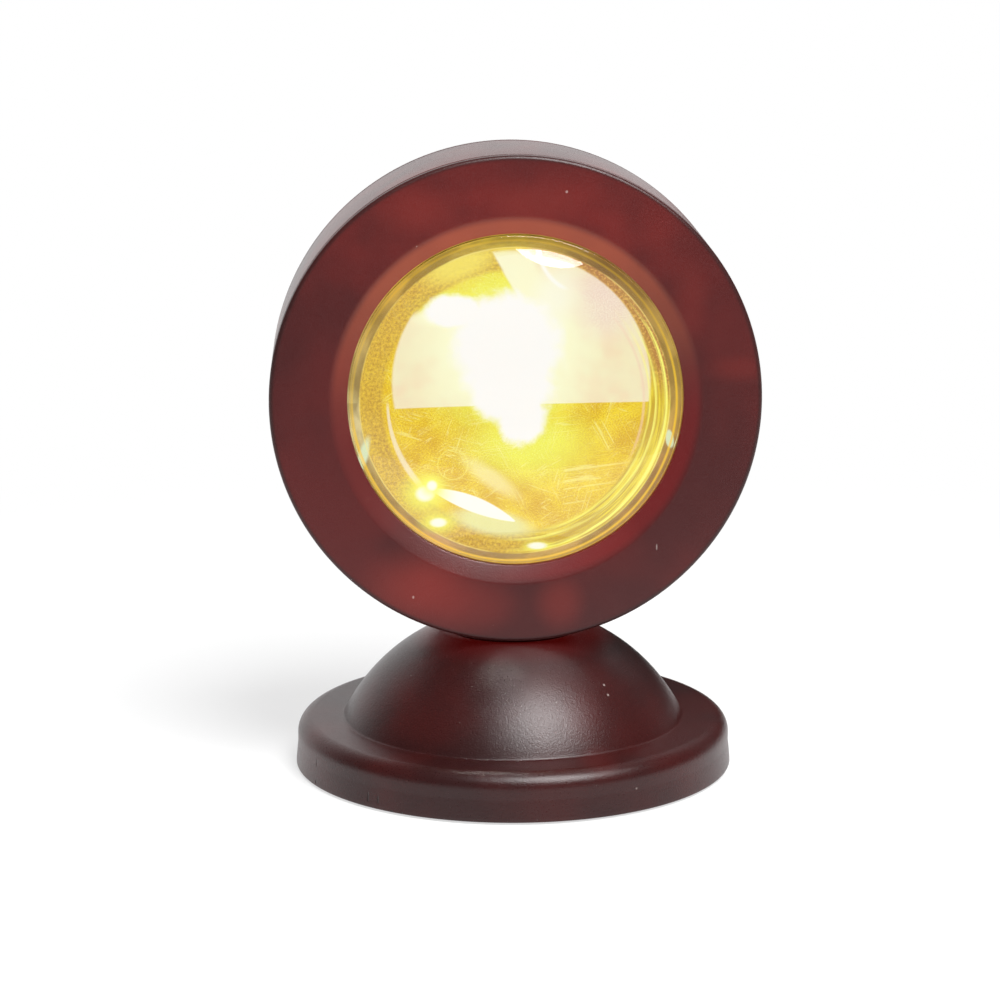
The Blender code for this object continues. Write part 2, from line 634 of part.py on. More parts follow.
def bottom_plate():
    """The floor of the base, with the cell bay's walls, straps, screw towers and windows for the door."""
    edge = INNER_WALL_RADIUS - FIT
    plate = make("bottom_plate", rod(edge, RIM_LIFT, PLATE_TOP, LARGE_STEPS), BASE, SHELL)
    outer_x = BAY_HALF_WIDTH + BAY_WALL
    outer_y = BAY_HALF_LENGTH + BAY_WALL
    walls = block((-outer_x, -outer_y, PLATE_TOP - BITE), (outer_x, outer_y, WALL_TOP))
    add(plate, make("bay_walls", walls, BASE))
    for side in (-1, 1):
        start = side * STRAP_PLACE - STRAP_WIDTH / 2
        half = outer_x - STRAP_INSET
        corners = (-half, start, WALL_TOP - BITE), (half, start + STRAP_WIDTH, BAY_ROOF + BAY_WALL)
        add(plate, make(f"strap_{side}", block(*corners), BASE))
    tower = BASE_BOSS_RADIUS + FIT
    for number, place in enumerate(BOSS_PLACES, 1):
        add(plate, make(f"tower_{number}", rod(tower, PLATE_TOP - BITE, PLATE_BOSS_TOP, place=place), BASE))
    low = RIM_LIFT - OVERRUN
    void = block((-BAY_HALF_WIDTH, -BAY_HALF_LENGTH, low), (BAY_HALF_WIDTH, BAY_HALF_LENGTH, BAY_ROOF))
    wide = SMALL_HEAD_RADIUS + 2 * FIT
    way = screw_outline(BASE_SCREW_RADIUS + FIT, low, SCREW_SEAT, PLATE_BOSS_TOP + OVERRUN, wide)
    ways = [turned(way, SMALL_STEPS, (*place, 0)) for place in BOSS_PLACES]
    screws = [make(f"screw_way_{number}", hole, BASE) for number, hole in enumerate(ways, 1)]
    pads = [rod(PAD_RADIUS + FIT, low, PAD_WALL + FIT, SMALL_STEPS * 2, place) for place in pad_places()]
    window = DOOR_TONGUE_WIDTH / 2 + FIT
    windows = []
    for side in (-1, 1):
        x = side * DOOR_TONGUE_PLACE
        start = x - window, BAY_HALF_LENGTH - OVERRUN, low
        windows.append(block(start, (x + window, outer_y + OVERRUN, WINDOW_HEIGHT)))
    cut(plate, make("bay_void", void, BASE), make("pad_seats", several(*pads), BASE), *screws)
    cut(plate, make("door_windows", several(*windows), BASE))
    thumb = rod(THUMB_RADIUS, low, RIM_LIFT + THUMB_DEPTH, SMALL_STEPS * 2, (0, -BAY_HALF_LENGTH))
    cut(plate, make("thumb_notch", thumb, BASE))


def pad_places():
    return [(x * PAD_PLACE, y * PAD_PLACE) for x in (-1, 1) for y in (-1, 1)]


def base_fittings():
    """Feet, screws and the steel ballast ring."""
    for number, place in enumerate(pad_places(), 1):
        make(f"foot_pad_{number}", rod(PAD_RADIUS, 0, PAD_WALL, SMALL_STEPS * 2, place), BASE, RUBBER)
    for number, place in enumerate(BOSS_PLACES, 1):
        head_top = SCREW_SEAT - FIT
        outline = screw_outline(BASE_SCREW_RADIUS, head_top - SMALL_HEAD_WALL, head_top, BASE_SCREW_TIP)
        make(f"base_screw_{number}", turned(outline, SMALL_STEPS, (*place, 0)), BASE, STEEL)
    ballast = ring(BALLAST_INSIDE, BALLAST_OUTSIDE, PLATE_TOP + FIT, WALL_TOP, LARGE_STEPS)
    make("ballast_ring", ballast, BASE, STEEL)


def screw_outline(shank, head_low, head_high, tip, head=SMALL_HEAD_RADIUS):
    """A pan-head screw whose head spans low to high and whose shank runs on to its tip."""
    return [(0, head_low), (head, head_low), (head, head_high), (shank, head_high), (shank, tip), (0, tip)]


def cell_outline():
    """A cell standing on its negative end, its middle at zero."""
    low = -CELL_LENGTH / 2
    shoulder = CELL_LENGTH / 2 - CELL_NUB
    return [
        (0, low),
        (CELL_RADIUS - CELL_EDGE, low),
        (CELL_RADIUS, low + CELL_EDGE),
        (CELL_RADIUS, shoulder - CELL_EDGE),
        (CELL_RADIUS - CELL_EDGE, shoulder),
        (CELL_NUB_RADIUS, shoulder),
        (CELL_NUB_RADIUS, shoulder + CELL_NUB),
        (0, shoulder + CELL_NUB),
    ]


def spring_points(sign, x):
    """A conical spring from its contact plate to the cell's negative end."""
    start = CONTACT_PLACE - SPRING_WIRE - FIT
    run = SPRING_ROOM - 2 * SPRING_WIRE - 2 * FIT
    count = SPRING_TURNS * POINTS_PER_TURN
    points = []
    for step in range(count + 1):
        share = step / count
        angle = math.tau * SPRING_TURNS * share
        radius = SPRING_FOOT_RADIUS + (SPRING_TIP_RADIUS - SPRING_FOOT_RADIUS) * share
        y = -sign * (start - run * share)
        points.append((x + radius * math.cos(angle), y, CELL_HEIGHT + radius * math.sin(angle)))
    return points


def cells_and_contacts():
    places = [(index - 1) * CELL_PITCH for index in range(len(CELL_SIGNS))]
    for number, (x, sign) in enumerate(zip(places, CELL_SIGNS), 1):
        cell = make(f"cell_{number}", turned(cell_outline(), SMALL_STEPS * 2), BASE, CELL_JACKET)
        cell.location = (x, sign * CELL_SHIFT, CELL_HEIGHT)
        cell.rotation_euler = (-sign * math.pi / 2, 0, 0)
        wire(f"contact_spring_{number}", spring_points(sign, x), SPRING_WIRE, BASE, NICKEL, 1)
    low = DOOR_BOTTOM + DOOR_WALL + FIT + CONTACT_LIFT
    top = CELL_HEIGHT + CONTACT_RISE
    spans = {
        "contact_single_rear": (places[2], places[2], 1),
        "contact_bridge_rear": (places[0], places[1], 1),
        "contact_single_front": (places[0], places[0], -1),
        "contact_bridge_front": (places[1], places[2], -1),
    }
    for name, (first, last, side) in spans.items():
        start, stop = sorted((side * CONTACT_PLACE, side * (CONTACT_PLACE + CONTACT_WALL)))
        corners = (first - CONTACT_SIDE, start, low), (last + CONTACT_SIDE, stop, top)
        make(name, block(*corners), BASE, NICKEL)


def battery_door():
    """The door hangs on two tongues at its rear edge; its frame lies on that hinge line."""
    half_x = BAY_HALF_WIDTH - FIT
    low = DOOR_BOTTOM - DOOR_AXIS_Z
    high = low + DOOR_WALL
    front = -DOOR_HALF_LENGTH - DOOR_AXIS_Y
    door = make("battery_door", block((-half_x, front, low), (half_x, DOOR_AXIS_INSET, high)), DOOR_AXIS, SHELL)
    for side in (-1, 1):
        x = side * DOOR_TONGUE_PLACE
        tongue_low = high - DOOR_TONGUE_WALL
        start = x - DOOR_TONGUE_WIDTH / 2, DOOR_AXIS_INSET - BITE, tongue_low
        stop = x + DOOR_TONGUE_WIDTH / 2, DOOR_AXIS_INSET + DOOR_TONGUE, high - FIT / 6
        add(door, make(f"door_tongue_{side}", block(start, stop), DOOR_AXIS))
    grip_low = -THUMB_RADIUS, front + BITE, low - OVERRUN
    grip = block(grip_low, (THUMB_RADIUS, front + 2 * BITE, low + THUMB_DEPTH / 2))
    cut(door, make("door_grip", grip, DOOR_AXIS))


def bezel_outline():
    """Section of the front bezel in (radius, forward)."""
    edge = (HEAD_RADIUS - EDGE_FILLET, FACE_LEAD - EDGE_FILLET)
    return [
        (LENS_OPENING_RADIUS, PLATE_REAR),
        (LENS_OPENING_RADIUS, PLATE_REAR + BEZEL_LIP),
        (RECESS_RADIUS, FACE_LEAD),
        *reversed(arc(edge, (EDGE_FILLET, EDGE_FILLET), 0, 90, EDGE_ARC_STEPS)),
        (HEAD_RADIUS, FRONT_SEAM),
        (SPIGOT_OUTSIDE, FRONT_SEAM),
        (SPIGOT_OUTSIDE, FRONT_SEAM - SPIGOT_LENGTH),
        (SPIGOT_INSIDE, FRONT_SEAM - SPIGOT_LENGTH),
        (SPIGOT_INSIDE, PLATE_REAR),
        (CUP_INSIDE + CUP_WALL, PLATE_REAR),
        (CUP_INSIDE + CUP_WALL, CUP_REAR),
        (CUP_INSIDE, CUP_REAR),
        (CUP_INSIDE, PLATE_REAR),
    ]


HEAD_SCREW_PLACES = around(HEAD_SCREWS, BOSS_PITCH, 90)
TUBE_SCREW_PLACES = around(TUBE_SCREWS, BOSS_PITCH, 30)
BEZEL_BOSS_REAR = REAR_SEAM + SPIGOT_LENGTH
COVER_SPIGOT_TOP = BEZEL_BOSS_REAR - FIT - BITE
HEAD_SCREW_SEAT = COVER_SEAM - BITE
EAR_FRONT = CUP_REAR - FIT
TUBE_POST_REAR = EAR_FRONT + FIT


def front_bezel():
    bezel = make("front_bezel", turned(bezel_outline(), LARGE_STEPS), HEAD, SHELL)
    front = PLATE_REAR + BITE
    for number, place in enumerate(HEAD_SCREW_PLACES, 1):
        add(bezel, make(f"long_boss_{number}", rod(HEAD_BOSS_RADIUS, BEZEL_BOSS_REAR, front, place=place), HEAD))
    for number, place in enumerate(TUBE_SCREW_PLACES, 1):
        add(bezel, make(f"short_boss_{number}", rod(HEAD_BOSS_RADIUS, TUBE_POST_REAR, front, place=place), HEAD))
    bore = SMALL_SCREW_RADIUS + FIT
    long_top = BEZEL_BOSS_REAR + SMALL_SCREW_LENGTH + FIT
    short_top = TUBE_POST_REAR + SMALL_SCREW_LENGTH - TUBE_FLANGE
    bores = [rod(bore, BEZEL_BOSS_REAR - OVERRUN, long_top, place=place) for place in HEAD_SCREW_PLACES]
    bores += [rod(bore, TUBE_POST_REAR - OVERRUN, short_top, place=place) for place in TUBE_SCREW_PLACES]
    cut(bezel, make("bezel_bores", several(*bores), HEAD))


def drum_shell():
    """The head's side wall, with lengthwise ribs and a slot for the neck's tongue."""
    front = FRONT_SEAM - FIT
    drum = make("drum_shell", ring(DRUM_INSIDE, HEAD_RADIUS, REAR_SEAM, front, LARGE_STEPS), HEAD, SHELL)
    rib_front = front - SPIGOT_LENGTH - FIT
    rib_rear = REAR_SEAM + SPIGOT_LENGTH + FIT
    ribs = []
    for index in range(DRUM_RIBS):
        turn = 360 * (index + 0.5) / DRUM_RIBS
        low = DRUM_INSIDE - DRUM_RIB, -DRUM_RIB / 2, rib_rear
        rib = block(low, (DRUM_INSIDE + BITE, DRUM_RIB / 2, rib_front))
        ribs.append(turned_copy(rib, turn))
    add(drum, make("drum_ribs", several(*ribs), HEAD))
    slot_front = STEM_BORE + TONGUE_LEAD_WALL + 2 * FIT
    low = (-CHEEK_GAP, -HEAD_RADIUS - OVERRUN, REAR_SEAM - OVERRUN)
    slot = block(low, (CHEEK_GAP, -PIN_DROP, slot_front))
    cut(drum, make("tongue_slot", slot, HEAD))


def turned_copy(fill, degrees):
    """The same shape, turned about the head's axis."""

    def fill_turned(solid):
        fill(solid)
        turn = Matrix.Rotation(math.radians(degrees), 3, "Z")
        bmesh.ops.rotate(solid, verts=solid.verts, cent=(0, 0, 0), matrix=turn)

    return fill_turned


def cover_curve(offset):
    """The rounded shoulder of the rear cover, drawn in by an offset."""
    centre = (HEAD_RADIUS - COVER_SHOULDER, COVER_SEAM - COVER_STRAIGHT)
    radii = (COVER_SHOULDER - offset, COVER_DEPTH - COVER_STRAIGHT - offset)
    return arc(centre, radii, 0, -90, EDGE_ARC_STEPS + 2)


def cover_outline():
    outside = [(0, COVER_BACK), *reversed(cover_curve(0)), (HEAD_RADIUS, COVER_SEAM)]
    inner_edge = (COVER_SHOULDER - HEAD_RADIUS + SPIGOT_INSIDE, COVER_DEPTH - COVER_STRAIGHT - COVER_WALL)
    centre = (HEAD_RADIUS - COVER_SHOULDER, COVER_SEAM - COVER_STRAIGHT)
    inside = [
        (SPIGOT_OUTSIDE, COVER_SEAM),
        (SPIGOT_OUTSIDE, COVER_SPIGOT_TOP),
        (SPIGOT_INSIDE, COVER_SPIGOT_TOP),
        *arc(centre, inner_edge, 0, -90, EDGE_ARC_STEPS),
        (0, COVER_INSIDE),
    ]
    return outside + inside


def cover_core():
    """Inside the cover's outer skin: posts and cheeks that stop here stay hidden."""
    skin = COVER_WALL / 2
    return [
        (0, COVER_BACK + skin),
        *reversed(cover_curve(skin)),
        (SPIGOT_OUTSIDE - BITE, COVER_SEAM),
        (SPIGOT_OUTSIDE - BITE, FRONT_SEAM),
        (0, FRONT_SEAM),
    ]


def vent_slots():
    """Upright slots behind the heat sink, each as long as the round field allows."""
    slots = []
    for index in range(VENT_COUNT):
        x = (index - (VENT_COUNT - 1) / 2) * VENT_PITCH
        half = math.sqrt(VENT_FIELD_RADIUS**2 - x**2)
        low = (x - VENT_WIDTH / 2, -half, COVER_BACK - OVERRUN)
        high = (x + VENT_WIDTH / 2, half, COVER_INSIDE + BITE)
        slots.append(block(low, high))
    return several(*slots)


def driver_posts():
    spread = DRIVER_HEIGHT / 2 - DRIVER_POST_RADIUS - 2 * FIT
    return [(-DRIVER_PLACE, -DRIVER_DROP + side * spread) for side in (-1, 1)]


DRIVER_REAR = COVER_INSIDE + DRIVER_POST + FIT
DRIVER_FRONT = DRIVER_REAR + DRIVER_WALL


def rear_cover():
    """The moulded back: shoulder, vents, screw posts, switch cradle and the two hinge cheeks."""
    cover = make("rear_cover", turned(cover_outline(), LARGE_STEPS), HEAD, SHELL)
    core = make("cover_core", turned(cover_core(), LARGE_STEPS), HEAD)
    core.hide_render = True
    core.display_type = "WIRE"
    rear = COVER_BACK
    posts = []
    for number, place in enumerate(HEAD_SCREW_PLACES, 1):
        post = rod(HEAD_BOSS_RADIUS + FIT, rear, BEZEL_BOSS_REAR - FIT, place=place)
        posts.append(make(f"post_{number}", post, HEAD))
    for number, place in enumerate(driver_posts(), 1):
        post = rod(DRIVER_POST_RADIUS, rear, DRIVER_REAR - FIT, place=place)
        posts.append(make(f"driver_post_{number}", post, HEAD))
    span = CHEEK_GAP + CHEEK_WALL
    entry = span + PIN_ENTRY
    cheek = rod(CHEEK_RADIUS, -span - BITE, entry, SMALL_STEPS * 2, (-PIN_DROP, -PIN_BACK), "X")
    posts.append(make("cheeks", cheek, HEAD))
    outer = SWITCH_WIDTH / 2 + FIT + CRADLE_WALL
    low = (-outer, SWITCH_PLACE - outer, rear)
    high = (outer, SWITCH_PLACE + outer, COVER_INSIDE + CRADLE_DEPTH)
    posts.append(make("cradle", block(low, high), HEAD))
    for post in posts:
        keep_inside(post, core)
        add(cover, post)
    inner = SWITCH_WIDTH / 2 + FIT
    low = (-inner, SWITCH_PLACE - inner, COVER_INSIDE - FIT / 2)
    high = (inner, SWITCH_PLACE + inner, COVER_INSIDE + CRADLE_DEPTH + OVERRUN)
    cut(cover, make("cradle_void", block(low, high), HEAD))
    cut(cover, make("vents", vent_slots(), HEAD))
    hole = rod(BUTTON_RADIUS + FIT, rear - OVERRUN, COVER_INSIDE + BITE, SMALL_STEPS * 2, (0, SWITCH_PLACE))
    cut(cover, make("button_hole", hole, HEAD))
    sink = SMALL_HEAD_RADIUS + FIT
    way = screw_outline(SMALL_SCREW_RADIUS + FIT, rear - OVERRUN, HEAD_SCREW_SEAT, BEZEL_BOSS_REAR, sink)
    for number, place in enumerate(HEAD_SCREW_PLACES, 1):
        cut(cover, make(f"screw_way_{number}", turned(way, SMALL_STEPS, (*place, 0)), HEAD))
    slot_low = (-CHEEK_GAP, -HEAD_RADIUS - OVERRUN, rear - OVERRUN)
    slot_high = (CHEEK_GAP, -PIN_DROP + CHEEK_RADIUS + BITE, REAR_SEAM + SPIGOT_LENGTH + OVERRUN)
    cut(cover, make("hinge_slot", block(slot_low, slot_high), HEAD))
    pin = rod(PIN_RADIUS + FIT, -span, entry + OVERRUN, SMALL_STEPS, (-PIN_DROP, -PIN_BACK), "X")
    cut(cover, make("pin_bore", pin, HEAD))


def head_screws():
    head_front = HEAD_SCREW_SEAT - FIT
    tip = BEZEL_BOSS_REAR + SMALL_SCREW_LENGTH
    outline = screw_outline(SMALL_SCREW_RADIUS, head_front - SMALL_HEAD_WALL, head_front, tip)
    for number, place in enumerate(HEAD_SCREW_PLACES, 1):
        make(f"head_screw_{number}", turned(outline, SMALL_STEPS, (*place, 0)), HEAD, STEEL)


def tilt_hinge():
    """Pin and friction washers on the tilt axis."""
    span = CHEEK_GAP + CHEEK_WALL - FIT
    place = (-PIN_DROP, -PIN_BACK)
    make("tilt_pin", rod(PIN_RADIUS, -span, span, SMALL_STEPS, place, "X"), HEAD, STEEL)
    for name, side in (("tilt_washer_left", -1), ("tilt_washer_right", 1)):
        near = TONGUE_WIDTH / 2 + FIT
        low, high = sorted((side * near, side * (near + TILT_WASHER_WALL)))
        washer = make(name, rod(EYE_RADIUS, low, high, SMALL_STEPS * 2, place, "X"), HEAD, NYLON)
        bore = rod(PIN_RADIUS + FIT, low - OVERRUN, high + OVERRUN, SMALL_STEPS, place, "X")
        cut(washer, make(f"{name}_bore", bore, HEAD))


def lens_outline():
    """A plano-convex lens with a seating flange and a short collar inside the bezel's opening."""
    collar = LENS_OPENING_RADIUS - FIT
    top = PLATE_REAR + LENS_COLLAR
    curve = (collar**2 + LENS_SAG**2) / (2 * LENS_SAG)
    lean = math.degrees(math.acos(collar / curve))
    crown = arc((0, top + LENS_SAG - curve), (curve, curve), lean, 90, DOME_ARC_STEPS // 2)
    return [
        (0, LENS_REAR),
        (LENS_FLANGE_RADIUS, LENS_REAR),
        (LENS_FLANGE_RADIUS, LENS_FRONT),
        (collar, LENS_FRONT),
        *crown[:-1],
        (0, top + LENS_SAG),
    ]


def optics():
    make("lens", turned(lens_outline(), LARGE_STEPS), HEAD, CLEAR)
    film = rod(LENS_FLANGE_RADIUS, FILM_FRONT - FILM_WALL, FILM_FRONT, LARGE_STEPS)
    make("colour_film", film, HEAD, GOLD_FILM)
    inside = LENS_FLANGE_RADIUS - RING_WIDTH
    make("film_ring", ring(inside, LENS_FLANGE_RADIUS, CUP_REAR, RING_FRONT), HEAD, BLACK_PLASTIC)
    light_tube(inside)


SINK_SCREW_PLACES = around(2, SINK_SCREW_REACH, 45)


def light_tube(mouth):
    """The white cone between the emitter and the film, with ears for its screws and bosses for the heat sink."""
    rear_flange = TUBE_FRONT - TUBE_FLANGE
    outline = [
        (0, TUBE_REAR),
        (TUBE_MOUTH_RADIUS + TUBE_WALL, TUBE_REAR),
        (mouth + TUBE_WALL, rear_flange),
        (LENS_FLANGE_RADIUS, rear_flange),
        (LENS_FLANGE_RADIUS, TUBE_FRONT),
        (0, TUBE_FRONT),
    ]
    tube = make("light_tube", turned(outline, MIDDLE_STEPS), HEAD, WHITE_PLASTIC)
    tip = arc((BOSS_PITCH, 0), (TUBE_EAR_RADIUS, TUBE_EAR_RADIUS), -90, 90, SMALL_STEPS // 2)
    ear_outline = [(mouth, TUBE_EAR_RADIUS), (mouth, -TUBE_EAR_RADIUS), *tip]
    ear = prism(ear_outline, rear_flange + EAR_INSET, TUBE_FRONT - EAR_INSET)
    for number, (x, y) in enumerate(TUBE_SCREW_PLACES, 1):
        add(tube, make(f"ear_{number}", turned_copy(ear, math.degrees(math.atan2(y, x))), HEAD))
    for number, place in enumerate(SINK_SCREW_PLACES, 1):
        boss = rod(SINK_BOSS_RADIUS, SINK_FRONT + FIT, rear_flange, place=place)
        add(tube, make(f"sink_boss_{number}", boss, HEAD))
    void = [
        (0, TUBE_REAR - OVERRUN),
        (TUBE_MOUTH_RADIUS, TUBE_REAR - OVERRUN),
        (TUBE_MOUTH_RADIUS, TUBE_REAR),
        (mouth, rear_flange),
        (mouth, TUBE_FRONT + OVERRUN),
        (0, TUBE_FRONT + OVERRUN),
    ]
    bore = SMALL_SCREW_RADIUS + FIT
    ways = [rod(bore, rear_flange - OVERRUN, TUBE_FRONT + OVERRUN, place=place) for place in TUBE_SCREW_PLACES]
    sinks = [rod(bore, SINK_FRONT - OVERRUN, TUBE_REAR, place=place) for place in SINK_SCREW_PLACES]
    cut(tube, make("light_void", turned(void, MIDDLE_STEPS), HEAD))
    cut(tube, make("ear_bores", several(*ways), HEAD), make("sink_bores", several(*sinks), HEAD))
    tip = TUBE_FRONT + SMALL_SCREW_LENGTH - 2 * FIT - TUBE_FLANGE
    outline = screw_outline(SMALL_SCREW_RADIUS, rear_flange - FIT - SMALL_HEAD_WALL, rear_flange - FIT, tip)
    for number, place in enumerate(TUBE_SCREW_PLACES, 1):
        make(f"tube_screw_{number}", turned(outline, SMALL_STEPS, (*place, 0)), HEAD, STEEL)


def light_engine():
    """Emitter, metal board and finned heat sink, held by two screws."""
    make("led_emitter", rod(EMITTER_RADIUS, TUBE_REAR, TUBE_REAR + EMITTER_WALL, MIDDLE_STEPS), HEAD, PHOSPHOR)
    board = rod(LED_BOARD_RADIUS, BOARD_FRONT - BOARD_WALL, BOARD_FRONT, MIDDLE_STEPS)
    make("led_board", board, HEAD, ALUMINIUM)
    sink = make("heat_sink", rod(SINK_RADIUS, FIN_REAR, SINK_FRONT, MIDDLE_STEPS), HEAD, ALUMINIUM)
    pitch = (2 * SINK_RADIUS - FIN_WALL) / FIN_COUNT
    gap = pitch - FIN_WALL
    rear = SINK_FRONT - SINK_WALL
    slots = []
    for index in range(FIN_COUNT):
        x = -SINK_RADIUS + FIN_WALL + index * pitch
        low = x, -SINK_RADIUS - OVERRUN, FIN_REAR - OVERRUN
        slots.append(block(low, (x + gap, SINK_RADIUS + OVERRUN, rear)))
    cut(sink, make("fin_slots", several(*slots), HEAD))
    wells = [rod(SMALL_HEAD_RADIUS + FIT, FIN_REAR - OVERRUN, rear, place=place) for place in SINK_SCREW_PLACES]
    bore = SMALL_SCREW_RADIUS + FIT
    ways = [rod(bore, rear - OVERRUN, SINK_FRONT + OVERRUN, place=place) for place in SINK_SCREW_PLACES]
    cut(sink, make("screw_wells", several(*wells), HEAD), make("sink_ways", several(*ways), HEAD))
    outline = screw_outline(SMALL_SCREW_RADIUS, rear - FIT - SMALL_HEAD_WALL, rear - FIT, TUBE_REAR - FIT)
    for number, place in enumerate(SINK_SCREW_PLACES, 1):
        make(f"sink_screw_{number}", turned(outline, SMALL_STEPS, (*place, 0)), HEAD, STEEL)


def driver():
    """The driver board on its posts, with a chip and a coil."""
    middle = -DRIVER_DROP
    low = (-DRIVER_PLACE - DRIVER_WIDTH / 2, middle - DRIVER_HEIGHT / 2, DRIVER_REAR)
    high = (-DRIVER_PLACE + DRIVER_WIDTH / 2, middle + DRIVER_HEIGHT / 2, DRIVER_FRONT)
    make("driver_board", block(low, high), HEAD, CIRCUIT)
    front = DRIVER_FRONT + FIT
    chip = middle + DRIVER_HEIGHT / 2 - CHIP_EDGE
    low = (-DRIVER_PLACE - CHIP_WIDTH / 2, chip - CHIP_WIDTH, front)
    high = (-DRIVER_PLACE + CHIP_WIDTH / 2, chip, front + CHIP_WALL)
    make("driver_chip", block(low, high), HEAD, BLACK_PLASTIC)
    coil_middle = middle - DRIVER_HEIGHT / 2 + COIL_EDGE + COIL_RADIUS
    coil = rod(COIL_RADIUS, front, front + COIL_HEIGHT, MIDDLE_STEPS // 2, (-DRIVER_PLACE, coil_middle))
    make("driver_coil", coil, HEAD, BLACK_PLASTIC)


BUTTON_SEAT = COVER_INSIDE + FIT
SWITCH_REAR = BUTTON_SEAT + BUTTON_FLANGE_WALL + SWITCH_TRAVEL + FIT


def switch():
    """Switch body in its cradle, and the button that travels into it."""
    half = SWITCH_WIDTH / 2
    low = (-half, SWITCH_PLACE - half, SWITCH_REAR)
    high = (half, SWITCH_PLACE + half, SWITCH_REAR + SWITCH_DEPTH)
    body = make("switch_body", block(low, high), HEAD, BLACK_PLASTIC)
    well = rod(BUTTON_STEM + FIT, SWITCH_REAR - OVERRUN, SWITCH_REAR + SWITCH_WELL, place=(0, SWITCH_PLACE))
    cut(body, make("switch_well", well, HEAD))
    back = -BUTTON_PROUD
    seat = BUTTON_SEAT - COVER_BACK
    front = seat + BUTTON_FLANGE_WALL
    tip = SWITCH_REAR - COVER_BACK + SWITCH_WELL - SWITCH_TRAVEL - FIT
    outline = [
        (0, back),
        (BUTTON_RADIUS - BUTTON_DOME, back),
        (BUTTON_RADIUS, back + BUTTON_DOME),
        (BUTTON_RADIUS, seat),
        (BUTTON_RADIUS + BUTTON_FLANGE, seat),
        (BUTTON_RADIUS + BUTTON_FLANGE, front),
        (BUTTON_STEM, front),
        (BUTTON_STEM, tip),
        (0, tip),
    ]
    make("switch_button", turned(outline, SMALL_STEPS * 2), BUTTON_AXIS, BLACK_PLASTIC)


def leads():
    """Single-core leads from the cells to the neck, one pair through the neck, and leads inside the head."""
    valley = CELL_PITCH / 2
    over = CELL_HEIGHT + CELL_RADIUS
    junction = STEM_END - LEAD_RADIUS - FIT
    lead_x = -CELL_PITCH + CONTACT_SIDE - LEAD_RADIUS
    route = [
        (lead_x, -CONTACT_PLACE - CONTACT_WALL / 2, CELL_HEIGHT + CONTACT_RISE + FIT),
        (-valley - LEAD_RADIUS, -CONTACT_PLACE + CONTACT_WALL, over - CONTACT_WALL),
        (-valley, -CELL_LENGTH / 2 + CONTACT_SIDE, over - LEAD_RADIUS),
        (-valley, -STRAP_PLACE, over - LEAD_RADIUS - FIT),
        (-valley, -CONTACT_SIDE - LEAD_RADIUS, over - FIT),
        (-LEAD_RADIUS - STEM_BORE, -STEM_BORE, junction - FIT),
        (-LEAD_RADIUS - FIT, 0, junction),
    ]
    wire("battery_lead_minus", smooth_path(route), LEAD_RADIUS, BASE, BLACK_LEAD)
    wire("battery_lead_plus", smooth_path([(-x, -y, z) for x, y, z in route]), LEAD_RADIUS, BASE, RED_LEAD)
    top = SEAT_TOP + TONGUE_RISE + FIT
    make("neck_lead", rod(NECK_LEAD_RADIUS, STEM_END + FIT, top), PAN_AXIS, GREY_LEAD)
    start = top - HEAD_CENTRE + FIT + LEAD_RADIUS
    board_edge = (-DRIVER_PLACE, -DRIVER_DROP - DRIVER_HEIGHT / 2 - FIT, (DRIVER_REAR + DRIVER_FRONT) / 2)
    route = [
        (0, start, 0),
        (-STEM_RADIUS, start + LEAD_RADIUS, 0),
        (-DRIVER_PLACE / 2, start + STEM_RADIUS, -STEM_BORE),
        (-DRIVER_PLACE + CHIP_WIDTH, board_edge[1] - HEAD_BOSS_RADIUS * 3, board_edge[2] / 2),
        (-DRIVER_PLACE + CHIP_WIDTH, board_edge[1] - HEAD_BOSS_RADIUS, board_edge[2]),
        (-DRIVER_PLACE + CHIP_WIDTH, board_edge[1], board_edge[2]),
    ]
    wire("head_lead", smooth_path(route), LEAD_RADIUS, HEAD, GREY_LEAD)
    inner_edge = -DRIVER_PLACE + DRIVER_WIDTH / 2 + FIT
    board_middle = BOARD_FRONT - BOARD_WALL / 2
    route = [
        (inner_edge, -DRIVER_DROP, board_edge[2]),
        (inner_edge + LEAD_RADIUS * 2, -DRIVER_DROP, board_edge[2]),
        (-SINK_RADIUS - DRIVER_GAP / 2, -DRIVER_DROP / 2, board_middle - LEAD_RADIUS),
        (-SINK_RADIUS, 0, board_middle + LEAD_RADIUS),
        (-LED_BOARD_RADIUS - FIT, 0, board_middle),
    ]
    wire("led_lead", smooth_path(route), LEAD_RADIUS, HEAD, RED_LEAD)
    side = -SWITCH_WIDTH / 2 - CRADLE_WALL - 2 * FIT
    route = [
        (-DRIVER_PLACE, -DRIVER_DROP + DRIVER_HEIGHT / 2 + FIT, board_edge[2]),
        (-DRIVER_PLACE, -DRIVER_DROP + DRIVER_HEIGHT / 2 + CHIP_WIDTH, board_edge[2]),
        (side - STEM_RADIUS, SWITCH_PLACE, SWITCH_REAR + SWITCH_DEPTH),
        (side, SWITCH_PLACE, SWITCH_REAR + SWITCH_DEPTH + LEAD_RADIUS),
        (-SWITCH_WIDTH / 4, SWITCH_PLACE, SWITCH_REAR + SWITCH_DEPTH + LEAD_RADIUS + FIT),
    ]
    wire("switch_lead", smooth_path(route), LEAD_RADIUS, HEAD, BLACK_LEAD)


base_shell()
seat_washer()
neck()
bottom_plate()
base_fittings()
cells_and_contacts()
battery_door()
front_bezel()
drum_shell()
rear_cover()
head_screws()
tilt_hinge()
optics()
light_engine()
driver()
switch()
leads()
bpy.context.view_layer.update()
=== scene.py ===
"""Looks, light and camera of the sunset projection lamp."""

import json
import math

import bmesh
import bpy
from mathutils import Matrix, Vector


